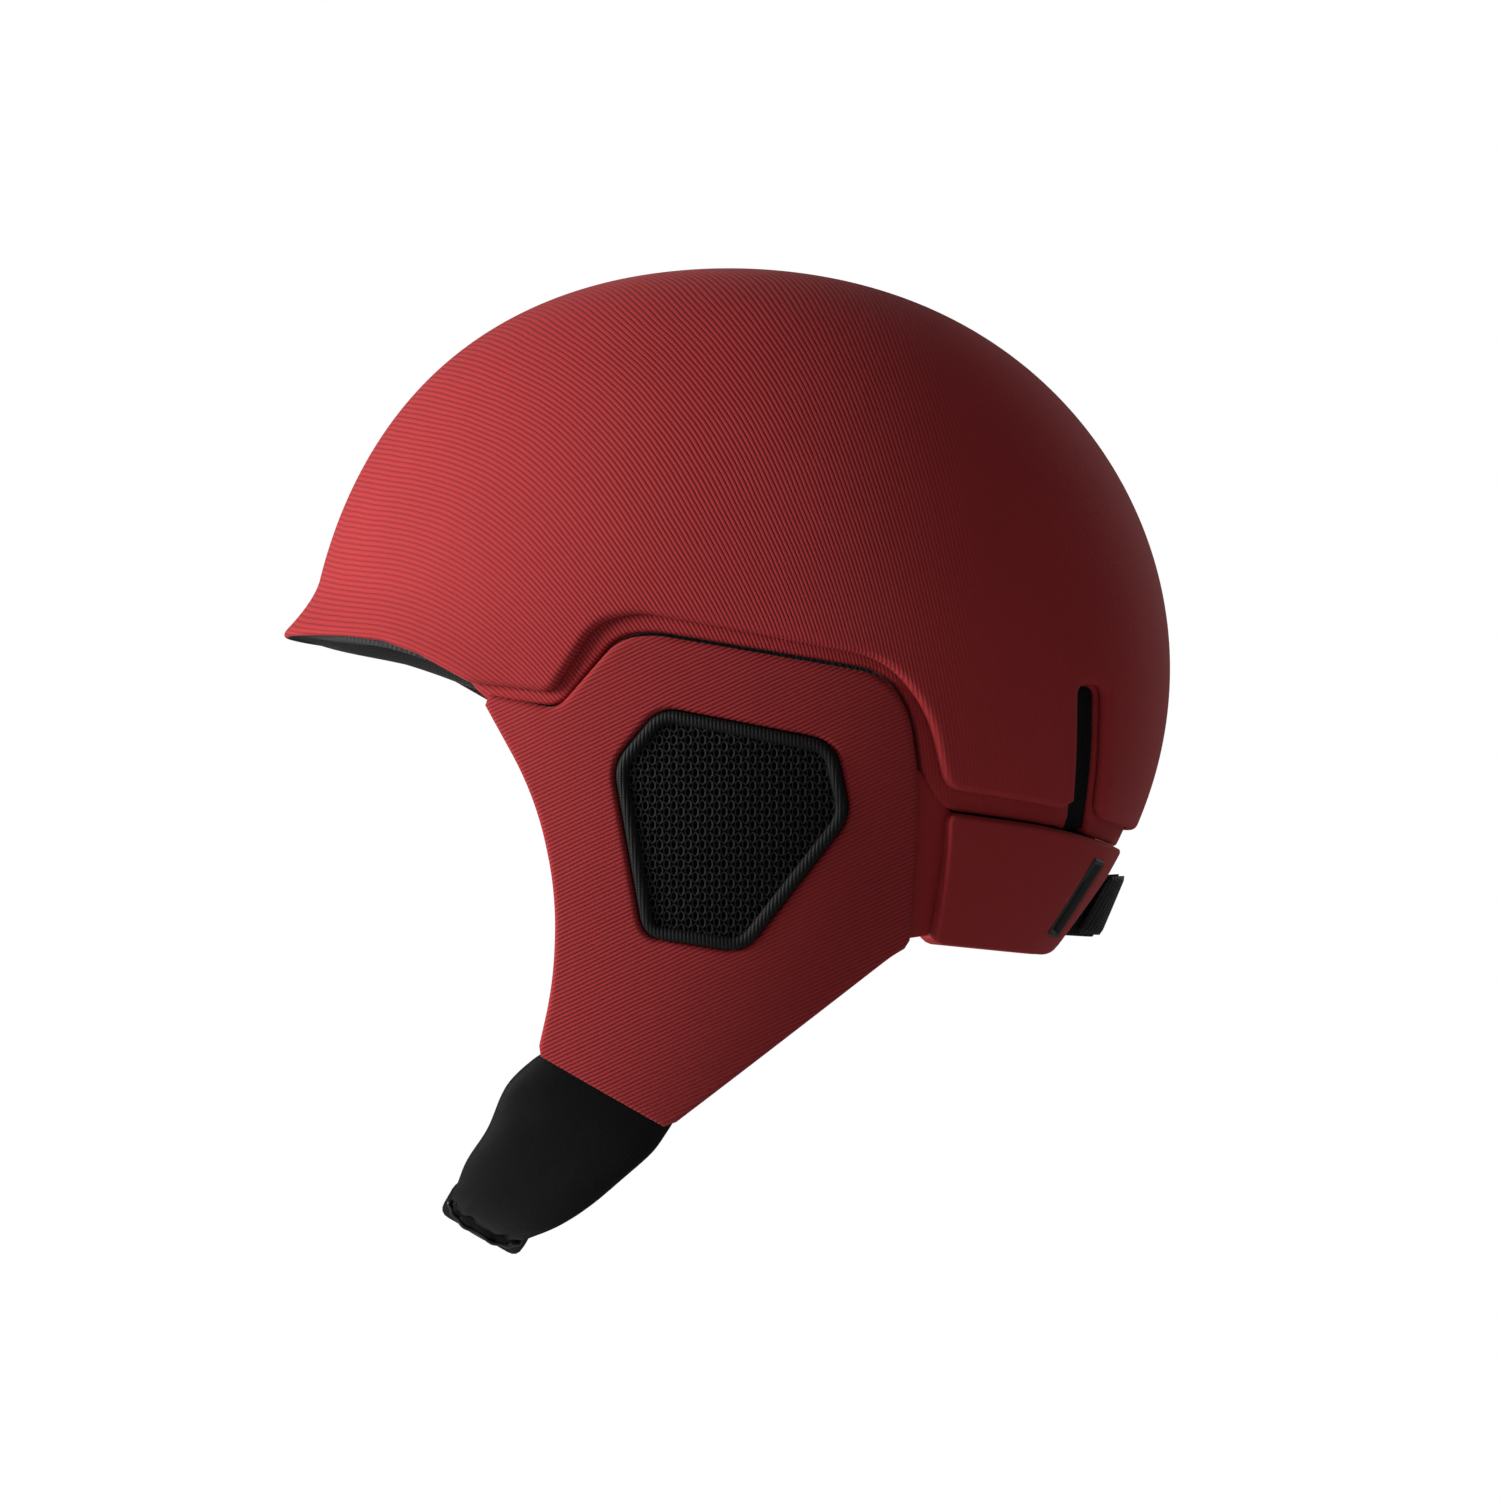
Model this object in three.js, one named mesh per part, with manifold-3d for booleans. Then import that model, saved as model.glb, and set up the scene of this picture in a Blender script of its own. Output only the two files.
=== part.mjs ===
// A soft-shell helmet for water sports: a padded dome with a short brim, two hanging ear flaps with
// mesh ear windows, two neck panels joined by a strap, and a chin strap in soft sleeves that closes
// with a snap buckle. Millimetres, +X the wearer's left, -Y the way the face looks, +Z up. The origin
// is the centre of the dome, inside the wearer's head.
import * as THREE from "three";
import { mergeVertices } from "three/addons/utils/BufferGeometryUtils.js";
import Module from "manifold-3d";

const wasm = await Module();
wasm.setup();

// Dome: half width, squareness of its sections, and the radius of its side profile every 20 degrees,
// counted from the back (+Y) over the top (+Z) to the front and round below.
const HALF_WIDTH = 103;
const SQUARENESS = 2.2;
const PROFILE_RADII = [128.6, 122.9, 117, 111.6, 108.2, 109.2, 115, 121.7, 125.7,
  130.5, 140.1, 158, 178, 186, 165, 141.1, 134.6, 132.4];

// Depths below the outer surface at which each layer starts and ends.
const SHELL = [0, 3];
const CORE = [3.3, 15.7];
const PAD = [16, 24];
const FLAP = [1.5, 10];
const PANEL = [0, 5];
const BAND = [5.3, 8.3];
const GUSSET = [4.2, 7];
const EAR_FRAME = [0.9, 7];
const EAR_MESH = [2.6, 4.6];
const EAR_PAD = [10.4, 17];
const BRIM_LINING = [4.4, 17];
const GAP = 0.35;

// Brim: how far it stands out, where its flare starts, and the half angle that it spans.
const BRIM_REACH = 9.6;
const BRIM_TOP_Z = 13;
const BRIM_HALF_ANGLE = THREE.MathUtils.degToRad(50);
const BRIM_THICKNESS = 3;
const BRIM_EDGE_Z = -2.8;
const BRIM_DROP = 85;

// Side-view outlines, as [y, z] or [y, z, corner radius].
const SHELL_EDGE = [[-160, -4.2], [-138, -3.4], [-115, -6.6], [-92, -13.2], [-80, -19.2], [-56, -22.6, 3],
  [-43, -2, 9], [-30, 0.6, 5], [42, -13, 12], [54, -29, 8], [58.5, -46.5, 3], [93, -51, 20], [121, -61]];
const CORE_EDGE = [[-138, 3], [-115, -0.6], [-92, -7.4], [-74, -25.2], [-53, -28, 4], [-37.5, -6, 6],
  [-27, -4.6, 5], [42, -16.6, 10], [50, -28, 8], [52.6, -46, 4], [58.6, -53, 2], [93, -57.5, 20], [116, -66]];
const BRIM_LINING_OUTLINE = [[-140, -1.8], [-115, -5], [-95, -11], [-88.5, -12.6], [-95, -7.2],
  [-115, -1], [-140, 2.6]];
const FLAP_OUTLINE = [[-74.3, -26.2], [-53, -29, 4], [-37, -7.2, 6], [-26.8, -5.8, 5], [41, -17.6, 10],
  [49, -28.4, 8], [51.8, -50, 8], [51.2, -72, 12], [49.6, -97, 1], [44.5, -99.2, 8], [-22.5, -151.6],
  [-61.6, -129], [-56.6, -108, 20], [-55.4, -82, 30], [-61.5, -53, 20]];
const PANEL_OUTLINE = [[60, -55.4, 2], [93, -59.4, 20], [116, -68], [92, -100.6, 4], [84, -98.6, 3],
  [56.4, -95.7, 2], [59.8, -73, 8]];
const BAND_OUTLINE = [[52.6, -49.8], [58, -54.2], [62, -55.2], [61.8, -72], [57.8, -94.6], [50.4, -94.6],
  [52, -72]];
const WINDOW = [[-24.5, -27.2, 6], [26.6, -37.2, 7], [31.6, -59, 6], [0.6, -98.6, 6], [-29.4, -94, 6],
  [-38.2, -43.4, 6]];
const FRAME_WIDTH = 4;
const EAR_PAD_WIDTH = 9;

// Rear slits and the slots in the neck panels.
const SLIT = { y: 101, z: -17.5, bottom: -70, width: 5.6 };
const PANEL_REAR_X = 30;
const SLOT = { y: 99.2, z: -82, lean: 20, length: 22, width: 4, frame: 2.6, depth: 5.6 };

// Chin sleeves: centre line of the left one from the flap down to the buckle, with width and thickness.
const SLEEVE_STATIONS = [
  { at: [57, -42.4, -140.9], width: 44.8, thickness: 10.6 },
  { at: [54.5, -48, -149.5], width: 43, thickness: 10.8 },
  { at: [48.5, -58.5, -161.5], width: 39.5, thickness: 11 },
  { at: [40, -68.5, -171], width: 35, thickness: 11.3 },
  { at: [30, -75, -176.6], width: 30.5, thickness: 11.5 },
  { at: [18.4, -77.4, -178.2], width: 28, thickness: 11 },
];
const SLEEVE_START = { widthAxis: [0.155, -0.856, 0.495], thicknessAxis: [0.988, 0.134, -0.078] };
const POCKET = { start: 10, end: 30, width: 23.4, height: 3.6 };
const CUFF = { start: 14.2, end: 18, width: 31, thickness: 13 };
const CLIP_TRAVEL = 7;
const WEBBING = { width: 21.6, thickness: 1.8, end: POCKET.end - CLIP_TRAVEL - 1 };

// Snap buckle, in its own frame: X along the strap, Y across it, Z out from the chin.
const BUCKLE_CENTRE = new THREE.Vector3(0, -77.4, -178.2);
const BUCKLE_TILT = THREE.MathUtils.degToRad(150);
const BUCKLE = { width: 27.4, thickness: 11.6, start: -13, end: 0.4, corner: 3.4 };
const TONGUE = { length: 6, tip: 2.2, tipWidth: 15, flare: 31, sideFlare: 19, clearance: 0.4 };
const CLIP = { start: 0.9, end: 6.8 };
const BUTTON = { radius: 4.6, x: -6.9, height: 2.8, proud: 1, clearance: 0.35, travel: 1.6 };
const MAGNET = { width: 10, height: 1.4, depth: 2 };

// Nape strap: a shallow arc in plan view that bows out between the panels; its webbing leans from
// vertical by one angle at the bow and by another inside the panels.
const STRAP = { width: 20, thickness: 1.8, z: -83.4, y: 98.6, curve: 0.0083, bow: 11.6, bowHalfWidth: 28,
  anchorX: 56, bowLean: 23, endLean: 35 };
const TAB = { halfLength: 13, height: 18, thickness: 1.4, gap: 0.4 };

const RED = { color: 0xa5272c, roughness: 0.85, metalness: 0 };
const NEOPRENE = { color: 0x17171a, roughness: 0.9, metalness: 0 };
const LINING = { color: 0x3a3b3e, roughness: 0.95, metalness: 0 };
const FOAM = { color: 0x2a2b2d, roughness: 0.95, metalness: 0 };
const PLASTIC = { color: 0x121214, roughness: 0.45, metalness: 0 };
const RUBBER = { color: 0x2d2e31, roughness: 0.7, metalness: 0 };
const STEEL = { color: 0xb8bcc2, roughness: 0.3, metalness: 1 };

const helmet = new THREE.Group();

// ---- helpers -------------------------------------------------------------------------------------

function toSolid(geometry) {
  const bare = geometry.clone();
  bare.deleteAttribute("normal");
  bare.deleteAttribute("uv");
  const merged = mergeVertices(bare, 1e-4);
  const vertProperties = new Float32Array(merged.attributes.position.array);
  const triVerts = new Uint32Array(merged.index.array);
  return new wasm.Manifold(new wasm.Mesh({ numProp: 3, vertProperties, triVerts }));
}

function toGeometry(solid) {
  const mesh = solid.getMesh();
  const geometry = new THREE.BufferGeometry();
  geometry.setAttribute("position", new THREE.BufferAttribute(mesh.vertProperties, 3));
  geometry.setIndex(new THREE.BufferAttribute(mesh.triVerts, 1));
  geometry.computeVertexNormals();
  return geometry;
}

function addNode(name, solid, finish) {
  const mesh = new THREE.Mesh(toGeometry(solid), new THREE.MeshStandardMaterial(finish));
  mesh.name = name;
  helmet.add(mesh);
}

// Adds name_left on +X and its mirror image name_right.
function addPair(name, solid, finish) {
  addNode(`${name}_left`, solid, finish);
  addNode(`${name}_right`, solid.mirror([1, 0, 0]), finish);
}

// Closed solid through equal loops of points, with flat ends.
function loft(loops) {
  const count = loops[0].length;
  const positions = loops.flat().flatMap((point) => [point.x, point.y, point.z]);
  const index = [];
  for (let i = 0; i + 1 < loops.length; i++) {
    for (let j = 0; j < count; j++) {
      const a = i * count + j;
      const b = i * count + ((j + 1) % count);
      index.push(a, b, b + count, a, b + count, a + count);
    }
  }
  const last = (loops.length - 1) * count;
  for (let j = 1; j + 1 < count; j++) {
    index.push(0, j + 1, j, last, last + j, last + j + 1);
  }
  const geometry = new THREE.BufferGeometry();
  geometry.setAttribute("position", new THREE.Float32BufferAttribute(positions, 3));
  geometry.setIndex(signedVolume(positions, index) < 0 ? index.reverse() : index);
  return toSolid(geometry);
}

function signedVolume(positions, index) {
  const corner = (i) => new THREE.Vector3().fromArray(positions, 3 * index[i]);
  let sum = 0;
  for (let i = 0; i < index.length; i += 3) {
    sum += corner(i).dot(corner(i + 1).cross(corner(i + 2)));
  }
  return sum / 6;
}

function boxSolid(size, centre, matrix = new THREE.Matrix4()) {
  const geometry = new THREE.BoxGeometry(...size);
  geometry.translate(...centre);
  return toSolid(geometry.applyMatrix4(matrix));
}

// Shape through corner points, rounded by up to the given radius at each corner that has one.
function roundedShape(points) {
  const shape = new THREE.Shape();
  points.forEach(([x, y, radius = 0], i) => {
    const corner = new THREE.Vector2(x, y);
    const before = new THREE.Vector2(...points[(i + points.length - 1) % points.length]);
    const after = new THREE.Vector2(...points[(i + 1) % points.length]);
    const reach = Math.min(radius, corner.distanceTo(before) / 2.01, corner.distanceTo(after) / 2.01);
    const start = stepTowards(corner, before, reach);
    const end = stepTowards(corner, after, reach);
    if (i === 0) {
      shape.moveTo(start.x, start.y);
    } else {
      shape.lineTo(start.x, start.y);
    }
    if (radius > 0) {
      shape.quadraticCurveTo(corner.x, corner.y, end.x, end.y);
    }
  });
  shape.closePath();
  return shape;
}

function stepTowards(from, to, distance) {
  return from.clone().add(to.clone().sub(from).setLength(distance));
}

// Outline moved inwards by a distance (outwards when negative); corners run round anticlockwise or
// clockwise, whichever the outline does.
function insetOutline(points, distance) {
  const turn = Math.sign(THREE.ShapeUtils.area(points.map(([x, y]) => new THREE.Vector2(x, y))));
  return points.map(([x, y, radius = 0], i) => {
    const corner = new THREE.Vector2(x, y);
    const before = new THREE.Vector2(...points[(i + points.length - 1) % points.length]);
    const after = new THREE.Vector2(...points[(i + 1) % points.length]);
    const along = corner.clone().sub(before).normalize();
    const onward = after.sub(corner).normalize();
    const inward = new THREE.Vector2(-along.y - onward.y, along.x + onward.x).normalize();
    const share = new THREE.Vector2(-along.y, along.x).dot(inward);
    const moved = corner.addScaledVector(inward, (turn * distance) / share);
    return [moved.x, moved.y, Math.max(radius - distance * 0.5, 1)];
  });
}

// Side-view outline pushed through the helmet along X.
function prism(points, fromX, toX, curveSegments = 3) {
  const geometry = new THREE.ExtrudeGeometry(roundedShape(points),
    { depth: toX - fromX, bevelEnabled: false, curveSegments });
  const sideways = new THREE.Matrix4().makeBasis(
    new THREE.Vector3(0, 1, 0), new THREE.Vector3(0, 0, 1), new THREE.Vector3(1, 0, 0));
  geometry.applyMatrix4(sideways);
  geometry.translate(fromX, 0, 0);
  return toSolid(geometry);
}

// ---- the dome ------------------------------------------------------------------------------------

// Radius of the side profile at an angle, a cubic B-spline through the driving radii.
function profileRadius(angle) {
  const count = PROFILE_RADII.length;
  const turns = (angle / (2 * Math.PI)) * count;
  const first = Math.floor(turns);
  const u = turns - first;
  const weights = [(1 - u) ** 3, 3 * u ** 3 - 6 * u * u + 4, -3 * u ** 3 + 3 * u * u + 3 * u + 1, u ** 3];
  return weights.reduce((sum, weight, k) =>
    sum + (weight / 6) * PROFILE_RADII[(first - 1 + k + 2 * count) % count], 0);
}

// Half width of the dome, depth below its surface, at a place in the side view.
function halfWidthAt(y, z, depth) {
  const share = Math.hypot(y, z) / (profileRadius(Math.atan2(z, y)) - depth);
  return (HALF_WIDTH - depth) * Math.max(1 - share ** SQUARENESS, 0) ** (1 / SQUARENESS);
}

// The whole closed form at a depth below its outer surface.
const forms = new Map();
function form(depth) {
  if (!forms.has(depth)) {
    forms.set(depth, buildForm(depth));
  }
  return forms.get(depth);
}

function buildForm(depth) {
  const around = 44;
  const across = 18;
  const loops = [];
  for (let i = 1; i < across; i++) {
    const tilt = Math.PI * (i / across - 0.5);
    const x = (HALF_WIDTH - depth) * Math.sign(tilt) * Math.abs(Math.sin(tilt)) ** (2 / SQUARENESS);
    const share = Math.cos(tilt) ** (2 / SQUARENESS);
    const loop = [];
    for (let j = 0; j < around; j++) {
      const angle = (2 * Math.PI * j) / around;
      const radius = share * (profileRadius(angle) - depth);
      loop.push(new THREE.Vector3(x, radius * Math.cos(angle), radius * Math.sin(angle)));
    }
    loops.push(loop);
  }
  return loft(loops);
}

function layer([outer, inner]) {
  return form(outer).subtract(form(inner));
}

function sidePiece(depths, outline, fromX = 5) {
  return layer(depths).intersect(prism(outline, fromX, HALF_WIDTH + 20));
}

// Matrix whose Z axis is the outward normal at a place on the left half and whose Y axis leans from
// straight up by the given angle.
function surfaceFrame(y, z, depth, lean = 0) {
  const step = 0.5;
  const at = (dy, dz) => new THREE.Vector3(halfWidthAt(y + dy, z + dz, depth), y + dy, z + dz);
  const alongY = at(step, 0).sub(at(-step, 0));
  const alongZ = at(0, step).sub(at(0, -step));
  const normal = alongY.cross(alongZ).normalize();
  const leaning = new THREE.Vector3(0, Math.sin(lean), Math.cos(lean));
  const side = leaning.cross(normal).normalize();
  const up = normal.clone().cross(side);
  return new THREE.Matrix4().makeBasis(side, up, normal).setPosition(at(0, 0));
}

// ---- shell, core, brim and pads ------------------------------------------------------------------

// Lower edge of the brim at an angle sideways from straight ahead.
function brimEdgeZ(turn) {
  return BRIM_EDGE_Z - BRIM_DROP * (1 - Math.cos(turn)) ** 1.47;
}

function domeRadiusAhead(turn, z, depth) {
  let low = 60;
  let high = 150;
  for (let i = 0; i < 30; i++) {
    const middle = (low + high) / 2;
    const inside = middle * Math.sin(turn) < halfWidthAt(-middle * Math.cos(turn), z, depth);
    if (inside) {
      low = middle;
    } else {
      high = middle;
    }
  }
  return low;
}

function aheadPoint(turn, radius, z) {
  return new THREE.Vector3(radius * Math.sin(turn), -radius * Math.cos(turn), z);
}

// Loop of section points for every step across the brim.
function acrossBrim(halfAngle, steps, section) {
  const loops = [];
  for (let i = 0; i <= steps; i++) {
    const turn = halfAngle * ((2 * i) / steps - 1);
    loops.push(section(Math.abs(turn) < 1e-6 ? 1e-6 : turn));
  }
  return loft(loops);
}

function brimWedge() {
  return acrossBrim(BRIM_HALF_ANGLE, 16, (turn) => {
    const reach = BRIM_REACH * Math.cos((turn / BRIM_HALF_ANGLE) * (Math.PI / 2)) ** 1.2 + 0.4;
    const edge = brimEdgeZ(turn);
    const radius = (z, out) => domeRadiusAhead(Math.abs(turn), z, 0) + out;
    return [
      aheadPoint(turn, radius(BRIM_TOP_Z, 0.1), BRIM_TOP_Z),
      aheadPoint(turn, radius(edge + 8, reach * 0.3), edge + 8),
      aheadPoint(turn, radius(edge, reach), edge),
      aheadPoint(turn, radius(edge, reach) - BRIM_THICKNESS, edge),
      aheadPoint(turn, radius(edge, -2.5), edge + 4),
      aheadPoint(turn, radius(BRIM_TOP_Z, -2.5), BRIM_TOP_Z),
    ];
  });
}

function slit(depths) {
  const half = SLIT.width / 2;
  const outline = [[SLIT.y - half, SLIT.z, half], [SLIT.y + half, SLIT.z, half],
    [SLIT.y + half, SLIT.bottom], [SLIT.y - half, SLIT.bottom]];
  const cutter = prism(outline, 30, HALF_WIDTH);
  return cutter.intersect(layer(depths));
}

function makeShell() {
  const ceiling = [[150, -61], [150, 130], [-160, 130]];
  const opening = [...SHELL_EDGE, ...ceiling];
  const cut = slit([-2, 5]);
  const wedge = brimWedge().subtract(form(SHELL[1]));
  return layer(SHELL).add(wedge)
    .intersect(prism(opening, -130, 130, 4))
    .subtract(cut)
    .subtract(cut.mirror([1, 0, 0]));
}

function makeCore() {
  const ceiling = [[150, -66], [150, 130], [-160, 130], [-160, 3]];
  const cut = slit([0, GUSSET[1] + GAP]);
  return layer(CORE)
    .intersect(prism([...CORE_EDGE, ...ceiling], -130, 130, 4))
    .subtract(cut)
    .subtract(cut.mirror([1, 0, 0]));
}

function makeSlitGusset() {
  const half = SLIT.width / 2 - GAP;
  const outline = [[SLIT.y - half, SLIT.z - GAP, half], [SLIT.y + half, SLIT.z - GAP, half],
    [SLIT.y + half, -63], [SLIT.y - half, -59]];
  return sidePiece(GUSSET, outline, 30);
}

function makeBrimLining() {
  return layer(BRIM_LINING).intersect(prism(BRIM_LINING_OUTLINE, -120, 120));
}

function makePads() {
  const brow = [[-140, 4, 3], [-70, -4, 3], [-70, 26, 3], [-140, 30, 3]];
  const crown = [[-66, 64, 3], [62, 64, 3], [62, 120, 3], [-66, 120, 3]];
  const nape = [[88, -46, 3], [140, -46, 3], [140, 12, 3], [88, 12, 3]];
  const side = [[-50, 8, 6], [52, 6, 6], [44, 50, 6], [-44, 50, 6]];
  addNode("brow_pad", layer(PAD).intersect(prism(brow, -90, 90)), FOAM);
  addNode("crown_pad", layer(PAD).intersect(prism(crown, -56, 56)), FOAM);
  addNode("nape_pad", layer(PAD).intersect(prism(nape, -60, 60)), FOAM);
  addPair("side_pad", sidePiece(PAD, side, 40), FOAM);
}

// ---- ear flaps -----------------------------------------------------------------------------------

function makeFlap() {
  const hole = prism(insetOutline(WINDOW, -GAP), 40, 120);
  return sidePiece(FLAP, FLAP_OUTLINE, 20).subtract(hole);
}

function makeEarFrame() {
  const hole = prism(insetOutline(WINDOW, FRAME_WIDTH), 40, 120);
  return sidePiece(EAR_FRAME, WINDOW, 40).subtract(hole);
}

function makeEarMesh() {
  return sidePiece(EAR_MESH, insetOutline(WINDOW, FRAME_WIDTH + GAP), 40);
}

function makeEarPad() {
  const hole = prism(insetOutline(WINDOW, FRAME_WIDTH), 40, 120);
  return sidePiece(EAR_PAD, insetOutline(WINDOW, -EAR_PAD_WIDTH), 40).subtract(hole);
}

// ---- neck panels and nape strap ------------------------------------------------------------------

function slotFrameMatrix() {
  return surfaceFrame(SLOT.y, SLOT.z, PANEL[1] / 2, THREE.MathUtils.degToRad(SLOT.lean));
}

function slotBlock(grow) {
  const size = [SLOT.width + 2 * (SLOT.frame + grow), SLOT.length + 2 * (SLOT.frame + grow)];
  return boxSolid([...size, 30], [0, 0, 0], slotFrameMatrix());
}

function makeNeckPanel() {
  const rear = boxSolid([100, 200, 200], [PANEL_REAR_X + 50, 80, -80]);
  return sidePiece(PANEL, PANEL_OUTLINE, 10).intersect(rear).subtract(slotBlock(GAP));
}

function makeSlotEyelet() {
  const depth = SLOT.depth;
  const ring = boxSolid([SLOT.width + 2 * SLOT.frame, SLOT.length + 2 * SLOT.frame, depth],
    [0, 0, 0.4], slotFrameMatrix());
  return ring.subtract(boxSolid([SLOT.width, SLOT.length, depth + 4], [0, 0, 0], slotFrameMatrix()));
}

// How much of the bow is left at a distance from the middle plane, from 1 to 0.
function bowShare(x) {
  return Math.abs(x) < STRAP.bowHalfWidth ? Math.cos((Math.PI * x) / (2 * STRAP.bowHalfWidth)) ** 2 : 0;
}

function strapPoint(x) {
  return new THREE.Vector3(x, STRAP.y - STRAP.curve * x * x + STRAP.bow * bowShare(x), STRAP.z);
}

function strapSection(x, halfWidth, inner, outer) {
  const along = strapPoint(x + 0.5).sub(strapPoint(x - 0.5)).normalize();
  const outward = new THREE.Vector3(-along.y, along.x, 0);
  const lean = THREE.MathUtils.lerp(STRAP.endLean, STRAP.bowLean, bowShare(x));
  const rise = new THREE.Vector3(0, Math.tan(THREE.MathUtils.degToRad(lean)), 1).normalize();
  const centre = strapPoint(x);
  return [[halfWidth, outer], [-halfWidth, outer], [-halfWidth, inner], [halfWidth, inner]]
    .map(([up, out]) => centre.clone().addScaledVector(rise, up).addScaledVector(outward, out));
}

function strapPiece(endX, steps, halfWidth, inner, outer) {
  const loops = [];
  for (let i = 0; i <= steps; i++) {
    loops.push(strapSection(endX * ((2 * i) / steps - 1), halfWidth, inner, outer));
  }
  return loft(loops);
}

function makeStrap() {
  addNode("nape_strap",
    strapPiece(STRAP.anchorX, 28, STRAP.width / 2, -STRAP.thickness / 2, STRAP.thickness / 2), NEOPRENE);
  const inner = STRAP.thickness / 2 + TAB.gap;
  const tab = strapPiece(TAB.halfLength, 8, TAB.height / 2, inner, inner + TAB.thickness);
  addNode("strap_tab", tab, NEOPRENE);
}

// ---- chin strap ----------------------------------------------------------------------------------

const buckleFrame = new THREE.Matrix4().makeRotationX(BUCKLE_TILT).setPosition(BUCKLE_CENTRE);

// Loop of a flattened round section in a plane.
function ovalLoop(centre, widthAxis, thicknessAxis, width, thickness) {
  const loop = [];
  for (let i = 0; i < 16; i++) {
    const angle = (2 * Math.PI * i) / 16;
    const round = (value) => Math.sign(value) * Math.abs(value) ** 0.75;
    loop.push(centre.clone()
      .addScaledVector(widthAxis, (width / 2) * round(Math.cos(angle)))
      .addScaledVector(thicknessAxis, (thickness / 2) * round(Math.sin(angle))));
  }
  return loop;
}

function makeSleeve() {
  const endWidth = new THREE.Vector3(0, 1, 0).transformDirection(buckleFrame);
  const endThickness = new THREE.Vector3(0, 0, 1).transformDirection(buckleFrame);
  const startWidth = new THREE.Vector3(...SLEEVE_START.widthAxis);
  const startThickness = new THREE.Vector3(...SLEEVE_START.thicknessAxis);
  const lastStation = SLEEVE_STATIONS.length - 1;
  const loops = SLEEVE_STATIONS.map(({ at, width, thickness }, i) => {
    const share = Math.min(i / (lastStation - 1), 1);
    const widthAxis = startWidth.clone().lerp(endWidth, share).normalize();
    const thicknessAxis = startThickness.clone().lerp(endThickness, share).normalize();
    return ovalLoop(new THREE.Vector3(...at), widthAxis, thicknessAxis, width, thickness);
  });
  const length = POCKET.end - POCKET.start;
  const middle = POCKET.start + length / 2;
  const pocket = boxSolid([length, POCKET.width, POCKET.height], [middle, 0, 0], buckleFrame);
  return loft(loops).subtract(pocket);
}

function makeCuff() {
  const loop = (x) => ovalLoop(new THREE.Vector3(x, 0, 0), new THREE.Vector3(0, 1, 0),
    new THREE.Vector3(0, 0, 1), CUFF.width, CUFF.thickness);
  const hole = boxSolid([20, POCKET.width, POCKET.height], [CUFF.start, 0, 0]);
  const ring = loft([loop(CUFF.start), loop(CUFF.end)]).subtract(hole);
  return toSolid(toGeometry(ring).applyMatrix4(buckleFrame));
}

function makeWebbing(from, to) {
  return boxSolid([to - from, WEBBING.width, WEBBING.thickness], [(from + to) / 2, 0, 0], buckleFrame);
}

// Tongue of the clip, or the space for it when grown by the clearance.
function tongue(grow) {
  const rise = Math.tan(THREE.MathUtils.degToRad(TONGUE.flare));
  const spread = Math.tan(THREE.MathUtils.degToRad(TONGUE.sideFlare));
  const section = (x, length) => {
    const height = TONGUE.tip / 2 + rise * length + grow;
    const width = TONGUE.tipWidth / 2 + spread * length + grow;
    return [[width, height], [-width, height], [-width, -height], [width, -height]]
      .map(([y, z]) => new THREE.Vector3(x, y, z));
  };
  const root = CLIP.start + 0.05;
  return loft([section(root - TONGUE.length - grow, 0), section(root, TONGUE.length)]);
}

function barrel(start, end) {
  const half = BUCKLE.width / 2;
  const high = BUCKLE.thickness / 2;
  const shape = roundedShape([[half, high, BUCKLE.corner], [-half, high, BUCKLE.corner],
    [-half, -high, BUCKLE.corner], [half, -high, BUCKLE.corner]]);
  const geometry = new THREE.ExtrudeGeometry(shape,
    { depth: end - start, bevelEnabled: false, curveSegments: 4 });
  const alongX = new THREE.Matrix4().makeBasis(
    new THREE.Vector3(0, 1, 0), new THREE.Vector3(0, 0, 1), new THREE.Vector3(1, 0, 0));
  return toSolid(geometry.applyMatrix4(alongX).translate(start, 0, 0));
}

function buttonPlug(radius, bottom, top) {
  const geometry = new THREE.CylinderGeometry(radius, radius, top - bottom, 20);
  geometry.rotateX(Math.PI / 2).translate(BUTTON.x, 0, (top + bottom) / 2);
  return toSolid(geometry);
}

function magnetBlock(x, grow) {
  return boxSolid([MAGNET.depth + 2 * grow, MAGNET.width + 2 * grow, MAGNET.height + 2 * grow], [x, 0, 0]);
}

function inBuckle(solid) {
  return toSolid(toGeometry(solid).applyMatrix4(buckleFrame));
}

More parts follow.
